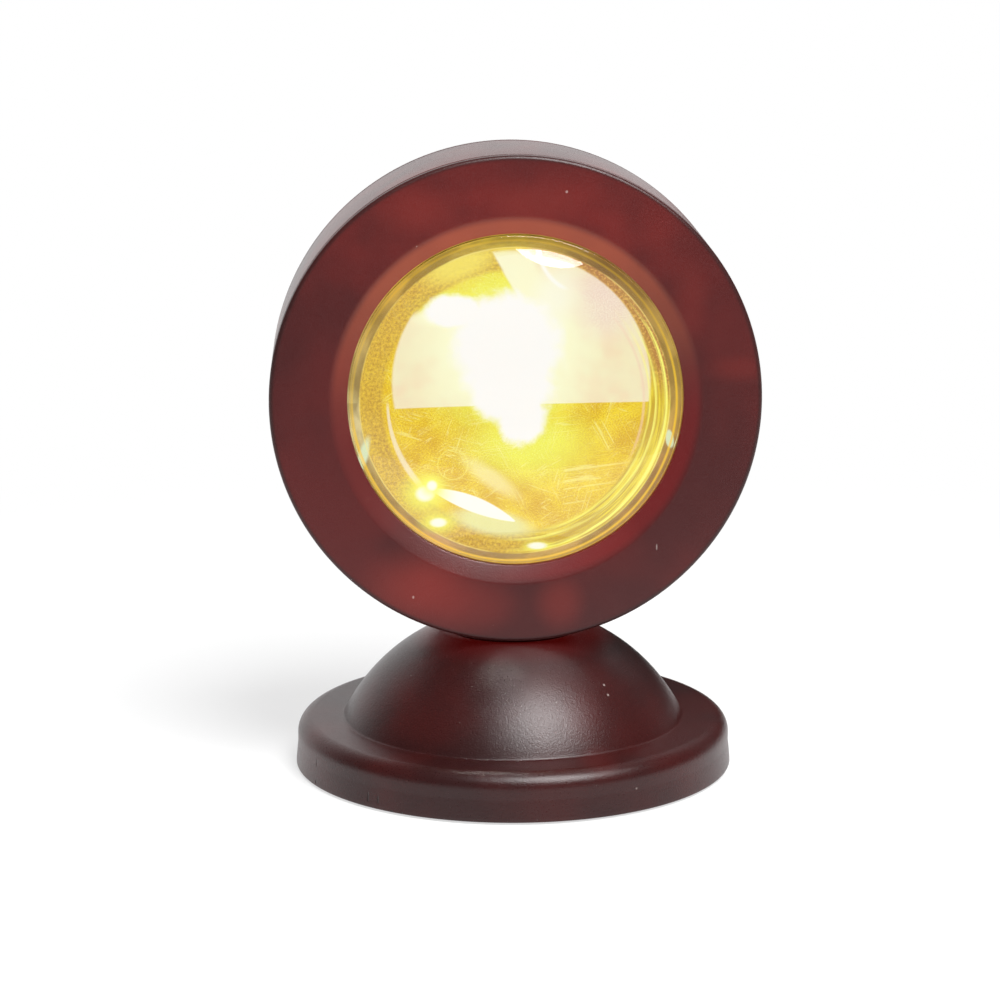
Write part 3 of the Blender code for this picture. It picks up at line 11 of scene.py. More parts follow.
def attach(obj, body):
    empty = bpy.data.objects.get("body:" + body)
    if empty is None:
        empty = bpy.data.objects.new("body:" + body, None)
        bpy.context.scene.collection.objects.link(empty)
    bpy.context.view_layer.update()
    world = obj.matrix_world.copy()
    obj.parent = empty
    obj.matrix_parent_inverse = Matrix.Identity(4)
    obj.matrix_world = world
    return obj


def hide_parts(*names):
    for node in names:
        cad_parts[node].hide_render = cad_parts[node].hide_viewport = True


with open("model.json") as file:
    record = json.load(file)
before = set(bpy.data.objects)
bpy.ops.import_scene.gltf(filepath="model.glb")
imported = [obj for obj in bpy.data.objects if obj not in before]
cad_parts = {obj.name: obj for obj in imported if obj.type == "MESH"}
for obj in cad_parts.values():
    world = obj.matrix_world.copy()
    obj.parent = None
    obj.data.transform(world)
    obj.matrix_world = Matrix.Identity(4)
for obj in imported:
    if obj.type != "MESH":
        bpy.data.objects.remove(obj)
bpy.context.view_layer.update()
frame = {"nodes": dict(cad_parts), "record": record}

MM = 0.001

# Sizes and places that the solids give, in millimetres
HEAD_CENTRE = 67.7
HEAD_RADIUS = 42.5
FACE_LEAD = 13.5
FRONT_SEAM = 11.3
DRUM_REACH = 11.0
COVER_SEAM = -11.3
COVER_BACK = -18.0
SPIGOT_OUTSIDE = 40.0
SPIGOT_INSIDE = 38.2
RECESS_RADIUS = 32.1
OPENING_RADIUS = 29.05
PLATE_REAR = 11.1
LENS_RADIUS = 28.75
LENS_SAG = 7.5
LENS_APEX = 19.1
FLANGE_RADIUS = 31.05
PIN_BACK = 13.0
PIN_HEIGHT = 29.1
SLOT_HALF = 4.8
SCREW_CIRCLE = 35.9
SEAT_TOP = 24.7
BASE_RADIUS = 38.95

# Steps around a turned piece
FINE = 192
MIDDLE = 96

# Outputs of the Light Path node
CAMERA_RAY = 0
GLOSSY_RAY = 3
TRANSMISSION_RAY = 6

WHITE = (1.0, 1.0, 1.0)
BLACK = (0.0, 0.0, 0.0)


class Signal:
    """A number that varies over a surface; arithmetic on it adds Math nodes."""

    def __init__(self, paint, socket):
        self.paint = paint
        self.socket = socket

    def math(self, operation, *values):
        inputs = dict(enumerate(values))
        return self.paint.node("ShaderNodeMath", {"operation": operation}, inputs)

    def __add__(self, other):
        return self.math("ADD", self, other)

    __radd__ = __add__

    def __mul__(self, other):
        return self.math("MULTIPLY", self, other)

    __rmul__ = __mul__

    def __sub__(self, other):
        return self.math("SUBTRACT", self, other)

    def __rsub__(self, other):
        return self.math("SUBTRACT", other, self)

    def __truediv__(self, other):
        return self.math("DIVIDE", self, other)

    def __pow__(self, other):
        return self.math("POWER", self, other)

    def size(self):
        return self.math("ABSOLUTE", self)

    def at_least(self, other):
        return self.math("MAXIMUM", self, other)

    def at_most(self, other):
        return self.math("MINIMUM", self, other)

    def sine(self):
        return self.math("SINE", self)


class Paint:
    """A material or a world in the making, with millimetres as its unit."""

    def __init__(self, name, world=False):
        self.material = bpy.data.worlds.new(name) if world else bpy.data.materials.new(name)
        self.material.use_nodes = True
        self.tree = self.material.node_tree
        self.shader = self.tree.nodes["Background" if world else "Principled BSDF"]
        self.output = self.tree.nodes["World Output" if world else "Material Output"]

    def node(self, kind, settings=None, inputs=None, output=0):
        made = self.tree.nodes.new(kind)
        for key, value in (settings or {}).items():
            if key == "stops":
                while len(made.color_ramp.elements) < len(value):
                    made.color_ramp.elements.new(1)
                for stop, (place, colour) in zip(made.color_ramp.elements, value):
                    stop.position = place
                    stop.color = (*colour, 1)
            else:
                setattr(made, key, value)
        for key, value in (inputs or {}).items():
            if isinstance(value, Signal):
                self.tree.links.new(value.socket, made.inputs[key])
            else:
                made.inputs[key].default_value = value
        return Signal(self, made.outputs[output])

    def place(self):
        """Object coordinates in millimetres."""
        spot = self.node("ShaderNodeTexCoord", output=3)
        return self.node("ShaderNodeVectorMath", {"operation": "SCALE"}, {0: spot, 3: 1 / MM})

    def parts(self, vector):
        return [self.node("ShaderNodeSeparateXYZ", {}, {0: vector}, index) for index in range(3)]

    def vector(self, x, y, z=0.0):
        return self.node("ShaderNodeCombineXYZ", {}, {0: x, 1: y, 2: z})

    def moved(self, vector, shift=(0, 0, 0), turn=(0, 0, 0), stretch=(1, 1, 1)):
        turn = [math.radians(angle) for angle in turn]
        inputs = {"Vector": vector, "Location": shift, "Rotation": turn, "Scale": stretch}
        return self.node("ShaderNodeMapping", {}, inputs)

    def ramp(self, value, low, high, start=0.0, stop=1.0):
        """A smooth step from start to stop as the value goes from low to high."""
        inputs = {"Value": value, "From Min": low, "From Max": high, "To Min": start, "To Max": stop}
        return self.node("ShaderNodeMapRange", {"interpolation_type": "SMOOTHSTEP"}, inputs)

    def noise(self, vector, scale, detail=2.0, rough=0.5):
        inputs = {"Vector": vector, "Scale": scale, "Detail": detail, "Roughness": rough}
        return self.node("ShaderNodeTexNoise", {}, inputs)

    def cells(self, vector, scale, feature="F1"):
        return self.node("ShaderNodeTexVoronoi", {"feature": feature}, {"Vector": vector, "Scale": scale})

    def mix(self, share, first, second):
        """The second colour over the first, by the share."""
        inputs = {0: share}
        for key, value in ((6, first), (7, second)):
            inputs[key] = value if isinstance(value, Signal) else (*value, 1)
        return self.node("ShaderNodeMix", {"data_type": "RGBA", "clamp_factor": True}, inputs, 2)

    def bump(self, height, distance, strength):
        inputs = {"Height": height, "Distance": distance * MM, "Strength": strength}
        return self.node("ShaderNodeBump", {}, inputs)

    def distance(self, point, centre, reach=(1, 1, 1)):
        """How far a point is from a centre, in units of the reach along each axis."""
        away = self.node("ShaderNodeVectorMath", {"operation": "SUBTRACT"}, {0: point, 1: centre})
        away = self.node("ShaderNodeVectorMath", {"operation": "DIVIDE"}, {0: away, 1: reach})
        return self.node("ShaderNodeVectorMath", {"operation": "LENGTH"}, {0: away}, 1)

    def ray(self, kind):
        """One for rays of a kind, and zero for the others."""
        return self.node("ShaderNodeLightPath", output=kind)

    def set(self, **values):
        """Links or sets inputs of the shader; an underscore in a name stands for a space."""
        for key, value in values.items():
            socket = self.shader.inputs[key.replace("_", " ")]
            if isinstance(value, Signal):
                self.tree.links.new(value.socket, socket)
            elif isinstance(value, tuple):
                socket.default_value = (*value, 1)
            else:
                socket.default_value = value
        return self


def mould_grain(paint, point):
    """Fine spark-eroded grain: the height of the surface, and the finer part of it alone."""
    grain = paint.noise(point, 3.8, 2.0, 0.65)
    return grain + paint.noise(point, 1.7, 1.0) * 0.35, grain


def mahogany(name, glow=None, light=1.0, marks_and_shade=None, relief=0.6, rough=0.38):
    """Translucent dark red-brown plastic; glow paints its lit places, and marks_and_shade gives its marks,
    dust and painted shade, with their height.
    """
    paint = Paint(name)
    point = paint.place()
    height, grain = mould_grain(paint, point)
    cloud = paint.noise(point, 0.055, 2.0, 0.45)
    deep = (0.031 * light, 0.0060 * light, 0.0062 * light)
    warm = (0.056 * light, 0.0065 * light, 0.0062 * light)
    colour = paint.mix(paint.ramp(cloud, 0.35, 0.68), deep, warm)
    specks = paint.ramp(paint.cells(paint.moved(point, shift=(3, 1, 7)), 0.22), 0.035, 0.015)
    colour = paint.mix(specks * 0.5, colour, (0.30, 0.26, 0.24))
    if marks_and_shade:
        colour, height = marks_and_shade(paint, point, colour, height)
    rough = paint.ramp(grain, 0.3, 0.7, rough * 0.87, rough * 1.15)
    paint.set(Base_Color=colour, Roughness=rough, Specular_IOR_Level=0.42)
    paint.set(Normal=paint.bump(height, 0.05, relief))
    if glow:
        paint.set(Emission_Color=glow(paint, point), Emission_Strength=1.0)
    return paint.material


def bezel_shade_and_dust(paint, point, colour, height):
    """Painted shade over the face's rounded edge, and three specks of dust."""
    x, _, z = paint.parts(point)
    radius = paint.distance(paint.vector(x, z - HEAD_CENTRE), (0, 0, 0))
    # Painted shade: the plastic is darkened towards the rounded edge of the face.
    colour = paint.mix(paint.ramp(radius, 41.6, 42.1) * 0.6, colour, (0.012, 0.0050, 0.0048))
    for (right, up), (wide, tall) in (
        ((8.6, 36.3), (0.3, 0.3)),
        ((-18.0, -34.2), (0.25, 0.35)),
        ((24.4, -25.8), (0.16, 0.7)),
    ):
        speck = paint.distance(point, (right, -FACE_LEAD, HEAD_CENTRE + up), (wide, 1, tall))
        colour = paint.mix(paint.ramp(speck, 1.0, 0.4) * 0.6, colour, (0.32, 0.27, 0.25))
    return colour, height


def base_marks_dust_and_shade(paint, point, colour, height):
    """A pit and nicks on the wall and rough moulding at its lower edge, dented and darkened with painted
    shade, and three specks of dust.
    """
    wall = 38.8
    for angle, low, high, half in (
        (-155.6, 3.6, 5.7, 0.30),
        (-155.1, 0.8, 1.5, 0.45),
        (-132.7, 1.1, 3.1, 0.22),
        (-129.4, 1.2, 2.8, 0.22),
        (-125.0, 0.2, 0.8, 0.50),
        (-122.0, 0.3, 0.9, 0.30),
        (-118.0, 0.0, 0.5, 0.60),
    ):
        turn = math.radians(angle)
        place = (wall * math.cos(turn), wall * math.sin(turn), (low + high) / 2)
        # Painted shade: each pit, nick and moulding mark is darkened as well as dented.
        pit_and_shade = paint.ramp(paint.distance(point, place, (half, half, (high - low) / 2)), 1.1, 0.5)
        colour = paint.mix(pit_and_shade * 0.8, colour, (0.008, 0.0030, 0.0030))
        height = height - pit_and_shade * 5.0
    for place in ((15.0, -17.6, 18.3), (15.6, -19.0, 16.9), (19.5, -33.5, 4.4)):
        speck = paint.ramp(paint.distance(point, place), 0.32, 0.12)
        colour = paint.mix(speck * 0.6, colour, (0.34, 0.28, 0.26))
    return colour, height


def bezel_glow(paint, point):
    """Lamplight that soaks through the face, strongest over the lens."""
    x, _, z = paint.parts(point)
    up = z - HEAD_CENTRE
    radius = paint.distance(paint.vector(x, up), (0, 0, 0))
    above = paint.ramp(up - x * 0.10, -6.0, 30.0)
    cloud = paint.ramp(paint.noise(point, 0.085, 2.0, 0.5), 0.34, 0.66)
    near = paint.ramp(radius, 43.0, 34.0, 0.35, 1.0)
    lit = paint.ramp(up, 6.0, 34.0) * near * (0.35 + 0.65 * cloud)
    colour = paint.mix(lit, (0.026, 0.0008, 0.0008), (0.118, 0.0060, 0.0040))
    for centre, reach, strength in (
        ((-17.0, 33.0), (9.0, 5.0), 0.6),
        ((3.0, 34.5), (9.0, 4.5), 0.7),
        ((29.5, 17.0), (4.0, 9.0), 0.45),
        ((38.5, 5.5), (7.5, 2.8), 0.35),
        ((-17.0, -32.5), (11.0, 8.0), 1.0),
        ((7.5, -35.5), (5.0, 5.5), 0.7),
        ((-8.0, -36.0), (9.0, 6.0), 0.6),
    ):
        patch = paint.ramp(paint.distance(paint.vector(x, up), (*centre, 0), (*reach, 1)), 1.15, 0.15)
        colour = paint.mix(patch * strength, colour, (0.140, 0.0110, 0.0070))
    ring = paint.ramp(radius, 32.6, 30.8)
    tint = paint.mix(above, (0.060, 0.0060, 0.0050), (0.300, 0.0560, 0.0180))
    tint = paint.mix(paint.ramp(x - up * 0.9, 20.0, 34.0), tint, (0.112, 0.0020, 0.0028))
    tint = paint.mix(ring * (0.86 + 0.14 * cloud), colour, tint)
    return paint.mix(paint.ramp(radius, 41.3, 42.1) * 0.8, tint, (0.006, 0.0008, 0.0006))


def drum_glow(paint, point):
    """Faint red blotches of painted glow on the side wall and the rear cover."""
    blotch = paint.ramp(paint.noise(point, 0.09, 1.0), 0.40, 0.70)
    return paint.mix(blotch, (0.012, 0.0012, 0.0010), (0.040, 0.0035, 0.0025))


def dome_glow(paint, point):
    """Faint red patches of painted glow on the dome, and a painted deep red reflection of the head just
    under it.
    """
    _, _, z = paint.parts(point)
    # Painted reflection: a deep red glow of the head on the top of the dome.
    head_reflection = paint.ramp(z, 21.5, 24.2)
    patches = paint.ramp(paint.distance(point, (-23, -16, 20), (7, 10, 7)), 1.0, 0.2)
    patches = patches.at_least(paint.ramp(paint.distance(point, (11, -25, 15), (5, 8, 8)), 1.0, 0.2) * 0.55)
    patches = patches.at_least(paint.ramp(paint.distance(point, (13, -30, 8), (5, 8, 4)), 1.0, 0.2))
    blotch = paint.ramp(paint.noise(point, 0.12, 1.0), 0.42, 0.72) * 0.12
    colour = paint.mix(patches.at_least(blotch) * 0.8, (0.004, 0.0008, 0.0006), (0.040, 0.0020, 0.0012))
    return paint.mix(head_reflection, colour, (0.045, 0.0010, 0.0008))


def seen_place(paint, point):
    """Where the photograph's camera sees each place of the film, in millimetres from the lens's middle."""
    x, _, z = paint.parts(point)
    up = z - HEAD_CENTRE
    radius = paint.distance(paint.vector(x, up), (0, 0, 0))
    bend = radius * radius
    grown = 1.072 - bend * 0.000065
    x = (x + 0.13) * grown
    up = (up - 0.1 + bend * 0.0008) * grown
    flat = paint.vector(x, up)
    return flat, x, up, paint.distance(flat, (0, 0, 0))


def spot(paint, flat, centre, reach, turn=0.0, outer=1.0, inner=0.6):
    """A soft-edged ellipse about a centre, with its long side turned by an angle."""
    away = paint.node("ShaderNodeVectorMath", {"operation": "SUBTRACT"}, {0: flat, 1: (*centre, 0)})
    if turn:
        away = paint.moved(away, turn=(0, 0, -turn))
    return paint.ramp(paint.distance(away, (0, 0, 0), (*reach, 1)), outer, inner)


def line(value, place, half, soft=0.15):
    """One where the value is near a place."""
    away = (value - place).size()
    return value.paint.ramp(away, half + soft, half - soft)


def lamp_light(paint, point):
    """What shines through the film: a white core, a yellow halo and amber beyond, under a painted reflection
    of a pale panel.
    """
    flat, x, up, radius = seen_place(paint, point)
    wobble = (paint.noise(flat, 0.30, 3.0, 0.6) - 0.5) * 0.55
    core = paint.distance(flat, (-1.4, 9.2, 0), (9.2, 9.6, 1)) + wobble
    lobe = paint.distance(flat, (-10.6, 15.8, 0), (5.0, 2.8, 1)) + wobble
    upper_tail = paint.distance(flat, (-0.8, 1.6, 0), (7.2, 5.6, 1)) + wobble
    lower_tail = paint.distance(flat, (1.2, -2.6, 0), (4.3, 5.2, 1)) + wobble
    tail = upper_tail.at_most(lower_tail)
    heart = paint.ramp(core.at_most(lobe).at_most(tail), 1.18, 0.80)
    halo = paint.ramp(core.at_most(lobe * 1.1).at_most(tail * 1.15), 2.5, 0.95)
    below = spot(paint, flat, (2.0, -7.5), (13.0, 8.0), 0, 1.25, 0.2)
    glitter = paint.noise(flat, 4.2, 3.0, 0.8)
    cloud = paint.noise(flat, 0.17, 2.0)
    grainy = cloud * 0.30 + glitter * 0.70
    amber = paint.mix(paint.ramp(grainy, 0.40, 0.60), (0.70, 0.380, 0.008), (0.94, 0.730, 0.035))
    shade = paint.ramp(up, 12.0, 24.0) * paint.ramp(x, -4.0, -14.0)
    light = paint.mix(shade * 0.5, amber, (0.80, 0.44, 0.050))
    glow = (halo * halo * 0.9).at_least(below * 0.85)
    light = paint.mix(glow * (0.65 + 0.6 * glitter), light, (0.91, 0.98, 0.120))
    light = hairs(paint, light, flat, radius, below)
    # Painted reflection of a pale panel over the upper half, with lilac tints, cut away near the top, with a
    # bright stripe at the cut.
    edge = up + 0.8 - x * 0.019
    panel = paint.ramp(edge, -0.12, 0.12) * paint.ramp(paint.distance(flat, (1.2, 3.2, 0)), 22.7, 22.1)
    cap = paint.ramp(up - x * 0.15 + cloud * 2.0, 18.0, 20.0) * paint.ramp(x + up * 0.58, 11.8, 10.8)
    lilac = spot(paint, flat, (14.5, 17.0), (10.0, 9.0), 0, 1.0, 0.2)
    pale = paint.mix(paint.ramp(cloud + glitter * 0.3, 0.50, 0.75), (0.94, 0.81, 0.60), (0.93, 0.89, 0.66))
    speckled = paint.mix(paint.ramp(glitter, 0.42, 0.60), (0.84, 0.66, 0.64), (0.96, 0.84, 0.86))
    pale = paint.mix(lilac * 0.8, pale, speckled)
    light = paint.mix(panel * (1 - cap) * 0.86, light, pale)
    light = paint.mix(halo * halo * panel * (1 - cap), light, (0.98, 1.0, 0.70))
    stripe = paint.ramp(x + up * 0.58, 10.9, 11.6) * paint.ramp(x + up * 0.25, 10.2, 8.8)
    stripe = stripe * paint.ramp(up, 15.0, 19.0)
    light = paint.mix(stripe * paint.ramp(radius, 26.8, 25.8) * 0.8, light, (0.98, 0.98, 0.68))
    haze = spot(paint, flat, (6.6, 17.5), (4.6, 8.0), -20, 1.2, 0.1)
    light = paint.mix(haze * 0.6, light, (0.98, 0.98, 0.88))
    shown = (panel * (1 - cap)).at_least(stripe)
    light = paint.mix(paint.ramp(glitter, 0.58, 0.68) * halo * 0.7, light, (1.0, 1.0, 0.88))
    light = lens_edge(paint, light, flat, x, up, radius, shown)
    light = reflections(paint, light, flat, x, up, radius)
    return paint.mix(heart, light, WHITE)


def hairs(paint, light, flat, radius, below):
    """Hair-fine scratches, brightest where the light is strong, and one small circle."""
    lines = None
    for turn, long, across in (
        (18, 0.035, 1.0),
        (-34, 0.05, 1.3),
        (62, 0.04, 1.2),
        (-72, 0.06, 1.5),
        (-8, 0.025, 0.8),
    ):
        drawn = paint.moved(flat, shift=(turn, 3, 0), turn=(0, 0, turn))
        drawn = paint.moved(drawn, stretch=(long, across, 1))
        shown = paint.ramp(paint.noise(paint.moved(flat, shift=(turn, 9, 2)), 0.22, 1.0), 0.50, 0.62)
        drawn = paint.ramp((paint.noise(drawn, 1.0, 1.0, 0.5) - 0.5).size(), 0.014, 0.004) * shown
        lines = drawn if lines is None else lines.at_least(drawn)
    strength = paint.ramp(radius, 27.0, 18.0, 0.20, 0.42).at_least(below * 0.7)
    light = paint.mix(lines * strength, light, (1.0, 0.98, 0.40))
    circle = line(paint.distance(flat, (-10.8, -11.2, 0)), 2.6, 0.10)
    return paint.mix(circle * 0.5, light, (1.0, 0.93, 0.22))


def lens_edge(paint, light, flat, x, up, radius, shown):
    """Painted rings of light that the edge of the lens makes out of the film and the bezel, by refraction
    and reflection.
    """
    angle = up.math("ARCTAN2", up, x)
    swirl = paint.noise(paint.vector(radius * 1.6, angle * 1.3), 1.0, 3.0, 0.65)
    flecks = paint.noise(flat, 2.0, 4.0, 0.75)
    low_right = paint.ramp(x - up * 0.45, 8.0, 22.0)
    band = paint.ramp(radius, 22.4, 23.4) * (1 - shown)
    mottle = paint.ramp(swirl * 0.25 + flecks * 0.75, 0.36, 0.64)
    tone = paint.mix(mottle, (0.46, 0.215, 0.045), (0.84, 0.60, 0.070))
    yellow = paint.mix(paint.ramp(swirl, 0.42, 0.58), (0.56, 0.36, 0.030), (0.90, 0.78, 0.055))
    light = paint.mix(band * 0.8, light, paint.mix(low_right, tone, yellow))
    upper_right = paint.ramp(x + up, 24.0, 32.0) * band
    rosy = paint.mix(paint.ramp(flecks, 0.46, 0.66), (0.40, 0.140, 0.060), (0.80, 0.46, 0.14))
    light = paint.mix(upper_right * 0.75, light, rosy)
    bright = spot(paint, flat, (-9.5, 23.9), (8.0, 3.4), 22, 1.2, 0.3)
    light = paint.mix(bright * band * 0.75, light, (0.96, 0.84, 0.150))
    arcs = line(radius, 26.3, 0.28) * low_right
    arcs = arcs.at_least(line(radius + swirl, 25.0, 0.22) * paint.ramp(x - up * 0.6, 10.0, 20.0) * 0.8)
    arcs = arcs.at_least(line(radius, 23.4, 0.20) * low_right * 0.5)
    light = paint.mix(arcs * paint.ramp(swirl, 0.30, 0.55), light, (1.0, 0.98, 0.20))
    rim = paint.ramp(radius, 26.9, 27.3)
    tints = [
        (0.03, (0.72, 0.62, 0.33)),
        (0.08, (0.46, 0.30, 0.080)),
        (0.16, (0.62, 0.33, 0.14)),
        (0.27, (0.60, 0.34, 0.06)),
        (0.42, (0.50, 0.21, 0.070)),
        (0.52, (0.62, 0.42, 0.10)),
        (0.66, (0.26, 0.135, 0.035)),
        (0.76, (0.58, 0.42, 0.040)),
        (0.88, (0.62, 0.37, 0.060)),
        (1.00, (0.50, 0.42, 0.20)),
    ]
    share = angle.math("MULTIPLY_ADD", angle, 0.5 / math.pi, 0.5)
    tint = paint.node("ShaderNodeValToRGB", {"stops": tints}, {0: share})
    patches = paint.noise(paint.vector(radius * 0.25, angle * 2.6, 5.0), 1.0, 3.0, 0.6)
    tint = paint.mix(paint.ramp(patches, 0.38, 0.64), paint.mix(0.62, tint, (0.14, 0.08, 0.015)), tint)
    light = paint.mix(rim * 0.92, light, tint)
    green = spot(paint, flat, (-26.6, -9.5), (1.1, 4.2), -20, 1.1, 0.5)
    green = green.at_least(spot(paint, flat, (27.2, -6.9), (0.9, 1.9), 10, 1.0, 0.7))
    light = paint.mix(green * 0.85, light, (0.74, 0.88, 0.60))
    outer = line(radius, 28.45, 0.20) * paint.ramp(up - x * 0.2, 12.0, -4.0, 0.25, 0.75)
    light = paint.mix(outer, light, (1.0, 0.62, 0.030))
    inner = line(radius, 27.0, 0.14) * paint.ramp(patches, 0.35, 0.55)
    return paint.mix(inner * 0.6, light, (0.95, 0.80, 0.25))


def reflections(paint, light, flat, x, up, radius):
    """Painted reflections: crescents, a veil, the bright leaf, hot spots and a curl at the top."""
    left = paint.ramp(x, -8.0, -14.0)
    along = paint.ramp(up, 0.0, -13.0, 0.15, 1.0)
    crescent = paint.ramp((radius - 22.0).size() / (0.22 + along * 0.42), 1.1, 0.4)
    crescent = crescent * paint.ramp(up, 0.5, -1.5) * paint.ramp(up, -17.0, -13.5)
    light = paint.mix(crescent * left * 0.75, light, (0.95, 0.84, 0.62))
    right = line(radius, 22.4, 0.22) * paint.ramp(x, 16.0, 20.0) * paint.ramp(up, -12.0, -6.0)
    light = paint.mix(right * 0.45, light, (0.92, 0.66, 0.50))
    veil = spot(paint, flat, (-4.2, -13.6), (6.8, 1.9), -35.5, 1.2, 0.3)
    light = paint.mix(veil * 0.65, light, (0.97, 0.88, 0.42))
    under = spot(paint, flat, (-4.0, -21.4), (7.8, 2.5), -12, 1.2, 0.5)
    light = paint.mix(under * 0.85, light, (0.84, 0.86, 0.42))
    start_x, start_up = 14.9, 15.3
    sine, cosine = 0.372, 0.928
    full = 16.2
    across = (x + start_x) * sine + (up + start_up) * cosine
    length = (x + start_x) * cosine - (up + start_up) * sine
    bulge = (length.at_most(full) * (math.pi / full)).sine().at_least(0.0) ** 0.8
    leaf = paint.ramp((across - bulge * 0.2).size() - bulge * 1.35, 0.12, -0.12)
    leaf = leaf * paint.ramp(length, 0.0, 0.4) * paint.ramp(length, full, 15.9)
    light = paint.mix(leaf, light, (1.0, 1.0, 0.93))
    for centre, reach, halo in (
        ((-15.6, -16.2), (1.8, 1.5), 3.4),
        ((-14.4, -14.8), (1.0, 1.0), 2.8),
        ((-13.3, -21.3), (1.6, 0.9), 3.0),
        ((3.9, -25.6), (1.9, 0.7), 1.9),
    ):
        wide = tuple(side * halo for side in reach)
        light = paint.mix(spot(paint, flat, centre, wide, 0, 1.0, 0.1) * 0.85, light, (0.96, 0.98, 0.12))
        light = paint.mix(spot(paint, flat, centre, reach, 0, 1.15, 0.5), light, (1.0, 1.0, 0.85))
    curl = line(paint.distance(flat, (12.6, 27.0, 0)), 8.4, 0.34, 0.3)
    curl = curl * paint.ramp(up, 19.0, 20.0) * paint.ramp(x, 10.0, 8.0)
    return paint.mix(curl * paint.ramp(up, 26.8, 26.0) * 0.9, light, (1.0, 1.0, 0.95))


def film():
    """The colour film, which carries the painted light."""
    paint = Paint("gold_film")
    paint.set(Base_Color=(0.06, 0.03, 0.005), Roughness=0.45, Specular_IOR_Level=0.1)
    paint.set(Emission_Color=lamp_light(paint, paint.place()), Emission_Strength=1.0)
    return paint.material


def clear_lens():
    paint = Paint("clear_acrylic")
    paint.set(Base_Color=(1.0, 1.0, 0.97), Roughness=0.015, IOR=1.49, Transmission_Weight=1.0)
    return paint.material


def plain(name, colour, rough, metal=0.0, bump=0.006):
    """A plain finish with a little variation in tone, gloss and surface."""
    grain = 0.15
    paint = Paint(name)
    point = paint.place()
    tone = paint.noise(point, 1.5, 3.0, 0.6)
    darker = tuple(channel * 0.75 for channel in colour)
    paint.set(Base_Color=paint.mix(paint.ramp(tone, 0.3, 0.7), darker, colour), Metallic=metal)
    fine = paint.noise(point, 6.0, 2.0)
    paint.set(Roughness=paint.ramp(fine, 0.3, 0.7, rough * (1 - grain), rough * (1 + grain)))
    paint.set(Normal=paint.bump(fine, bump, 0.4))
    return paint.material


def brushed(name, colour, rough, stretch):
    """Metal with a drawn or turned grain."""
    paint = Paint(name)
    lines = paint.noise(paint.moved(paint.place(), stretch=stretch), 1.0, 3.0, 0.6)
    darker = tuple(channel * 0.7 for channel in colour)
    paint.set(Base_Color=paint.mix(lines, darker, colour), Metallic=1.0)
    paint.set(Roughness=paint.ramp(lines, 0.3, 0.7, rough * 0.8, rough * 1.3))
    paint.set(Normal=paint.bump(lines, 0.008, 0.5))
    return paint.material


def cell_jacket():
    """A printed steel can: a dark jacket with a coppery end, and bare metal at its two poles."""
    paint = Paint("cell_jacket")
    x, y, _ = paint.parts(paint.place())
    shoulder = paint.ramp(y.size(), 22.9, 23.1)
    band = paint.ramp(y, 9.0, 9.1)
    flipped = paint.ramp(y, -9.0, -9.1)
    outer = paint.ramp(x.size(), 5.3, 5.5)
    copper = paint.mix(outer, flipped, band)
    colour = paint.mix(copper, (0.020, 0.050, 0.048), (0.55, 0.25, 0.10))
    colour = paint.mix(shoulder, colour, (0.60, 0.58, 0.54))
    paint.set(Base_Color=colour, Metallic=shoulder.at_least(copper * 0.6), Roughness=0.28)
    fine = paint.noise(paint.place(), 4.0, 2.0)
    paint.set(Normal=paint.bump(fine, 0.004, 0.3))
    return paint.material


def circuit_board():
    """Green coating with tracks and bare pads."""
    paint = Paint("green_board")
    point = paint.place()
    tracks = paint.ramp(paint.cells(point, 0.45, "DISTANCE_TO_EDGE"), 0.05, 0.09)
    pads = paint.ramp(paint.cells(point, 0.5), 0.22, 0.18)
    colour = paint.mix(tracks, (0.035, 0.22, 0.08), (0.010, 0.11, 0.040))
    colour = paint.mix(pads * 0.8, colour, (0.72, 0.70, 0.64))
    paint.set(Base_Color=colour, Roughness=0.32, Metallic=pads * 0.8)
    return paint.material


def hidden_glow(name, colour, glow):
    """White plastic or phosphor that the light inside makes bright."""
    paint = Paint(name)
    tone = paint.noise(paint.place(), 0.8, 2.0)
    darker = tuple(channel * 0.85 for channel in colour)
    paint.set(Base_Color=paint.mix(tone, darker, colour), Roughness=0.4)
    paint.set(Emission_Color=glow, Emission_Strength=1.0)
    return paint.material


SLOTS = {
    "clear_acrylic": clear_lens(),
    "gold_film": film(),
    "mahogany_plastic": mahogany("mahogany_plastic"),
    "white_plastic": hidden_glow("white_plastic", (0.80, 0.79, 0.75), (0.30, 0.24, 0.10)),
    "phosphor": hidden_glow("phosphor", (0.95, 0.80, 0.15), (1.0, 0.95, 0.60)),
    "black_plastic": plain("black_plastic", (0.022, 0.022, 0.024), 0.42),
    "aluminium": brushed("aluminium", (0.74, 0.75, 0.76), 0.34, (3.0, 3.0, 0.2)),
    "steel": plain("steel", (0.60, 0.60, 0.62), 0.28, 1.0),
    "nickel": plain("nickel", (0.72, 0.70, 0.65), 0.20, 1.0),
    "brass": brushed("brass", (0.76, 0.55, 0.24), 0.28, (2.0, 2.0, 2.0)),
    "green_board": circuit_board(),
    "rubber": plain("rubber", (0.026, 0.025, 0.025), 0.75, bump=0.02),
    "nylon": plain("nylon", (0.76, 0.75, 0.71), 0.42),
    "cell_jacket": cell_jacket(),
    "red_lead": plain("red_lead", (0.48, 0.020, 0.018), 0.40),
    "black_lead": plain("black_lead", (0.022, 0.022, 0.024), 0.40),
    "grey_lead": plain("grey_lead", (0.28, 0.28, 0.29), 0.40),
}
BEZEL = mahogany("mahogany_bezel", bezel_glow, marks_and_shade=bezel_shade_and_dust)
DRUM = mahogany("mahogany_drum", drum_glow, rough=0.28)
DOME = mahogany("mahogany_dome", dome_glow, 0.6, base_marks_dust_and_shade, 1.0, 0.31)


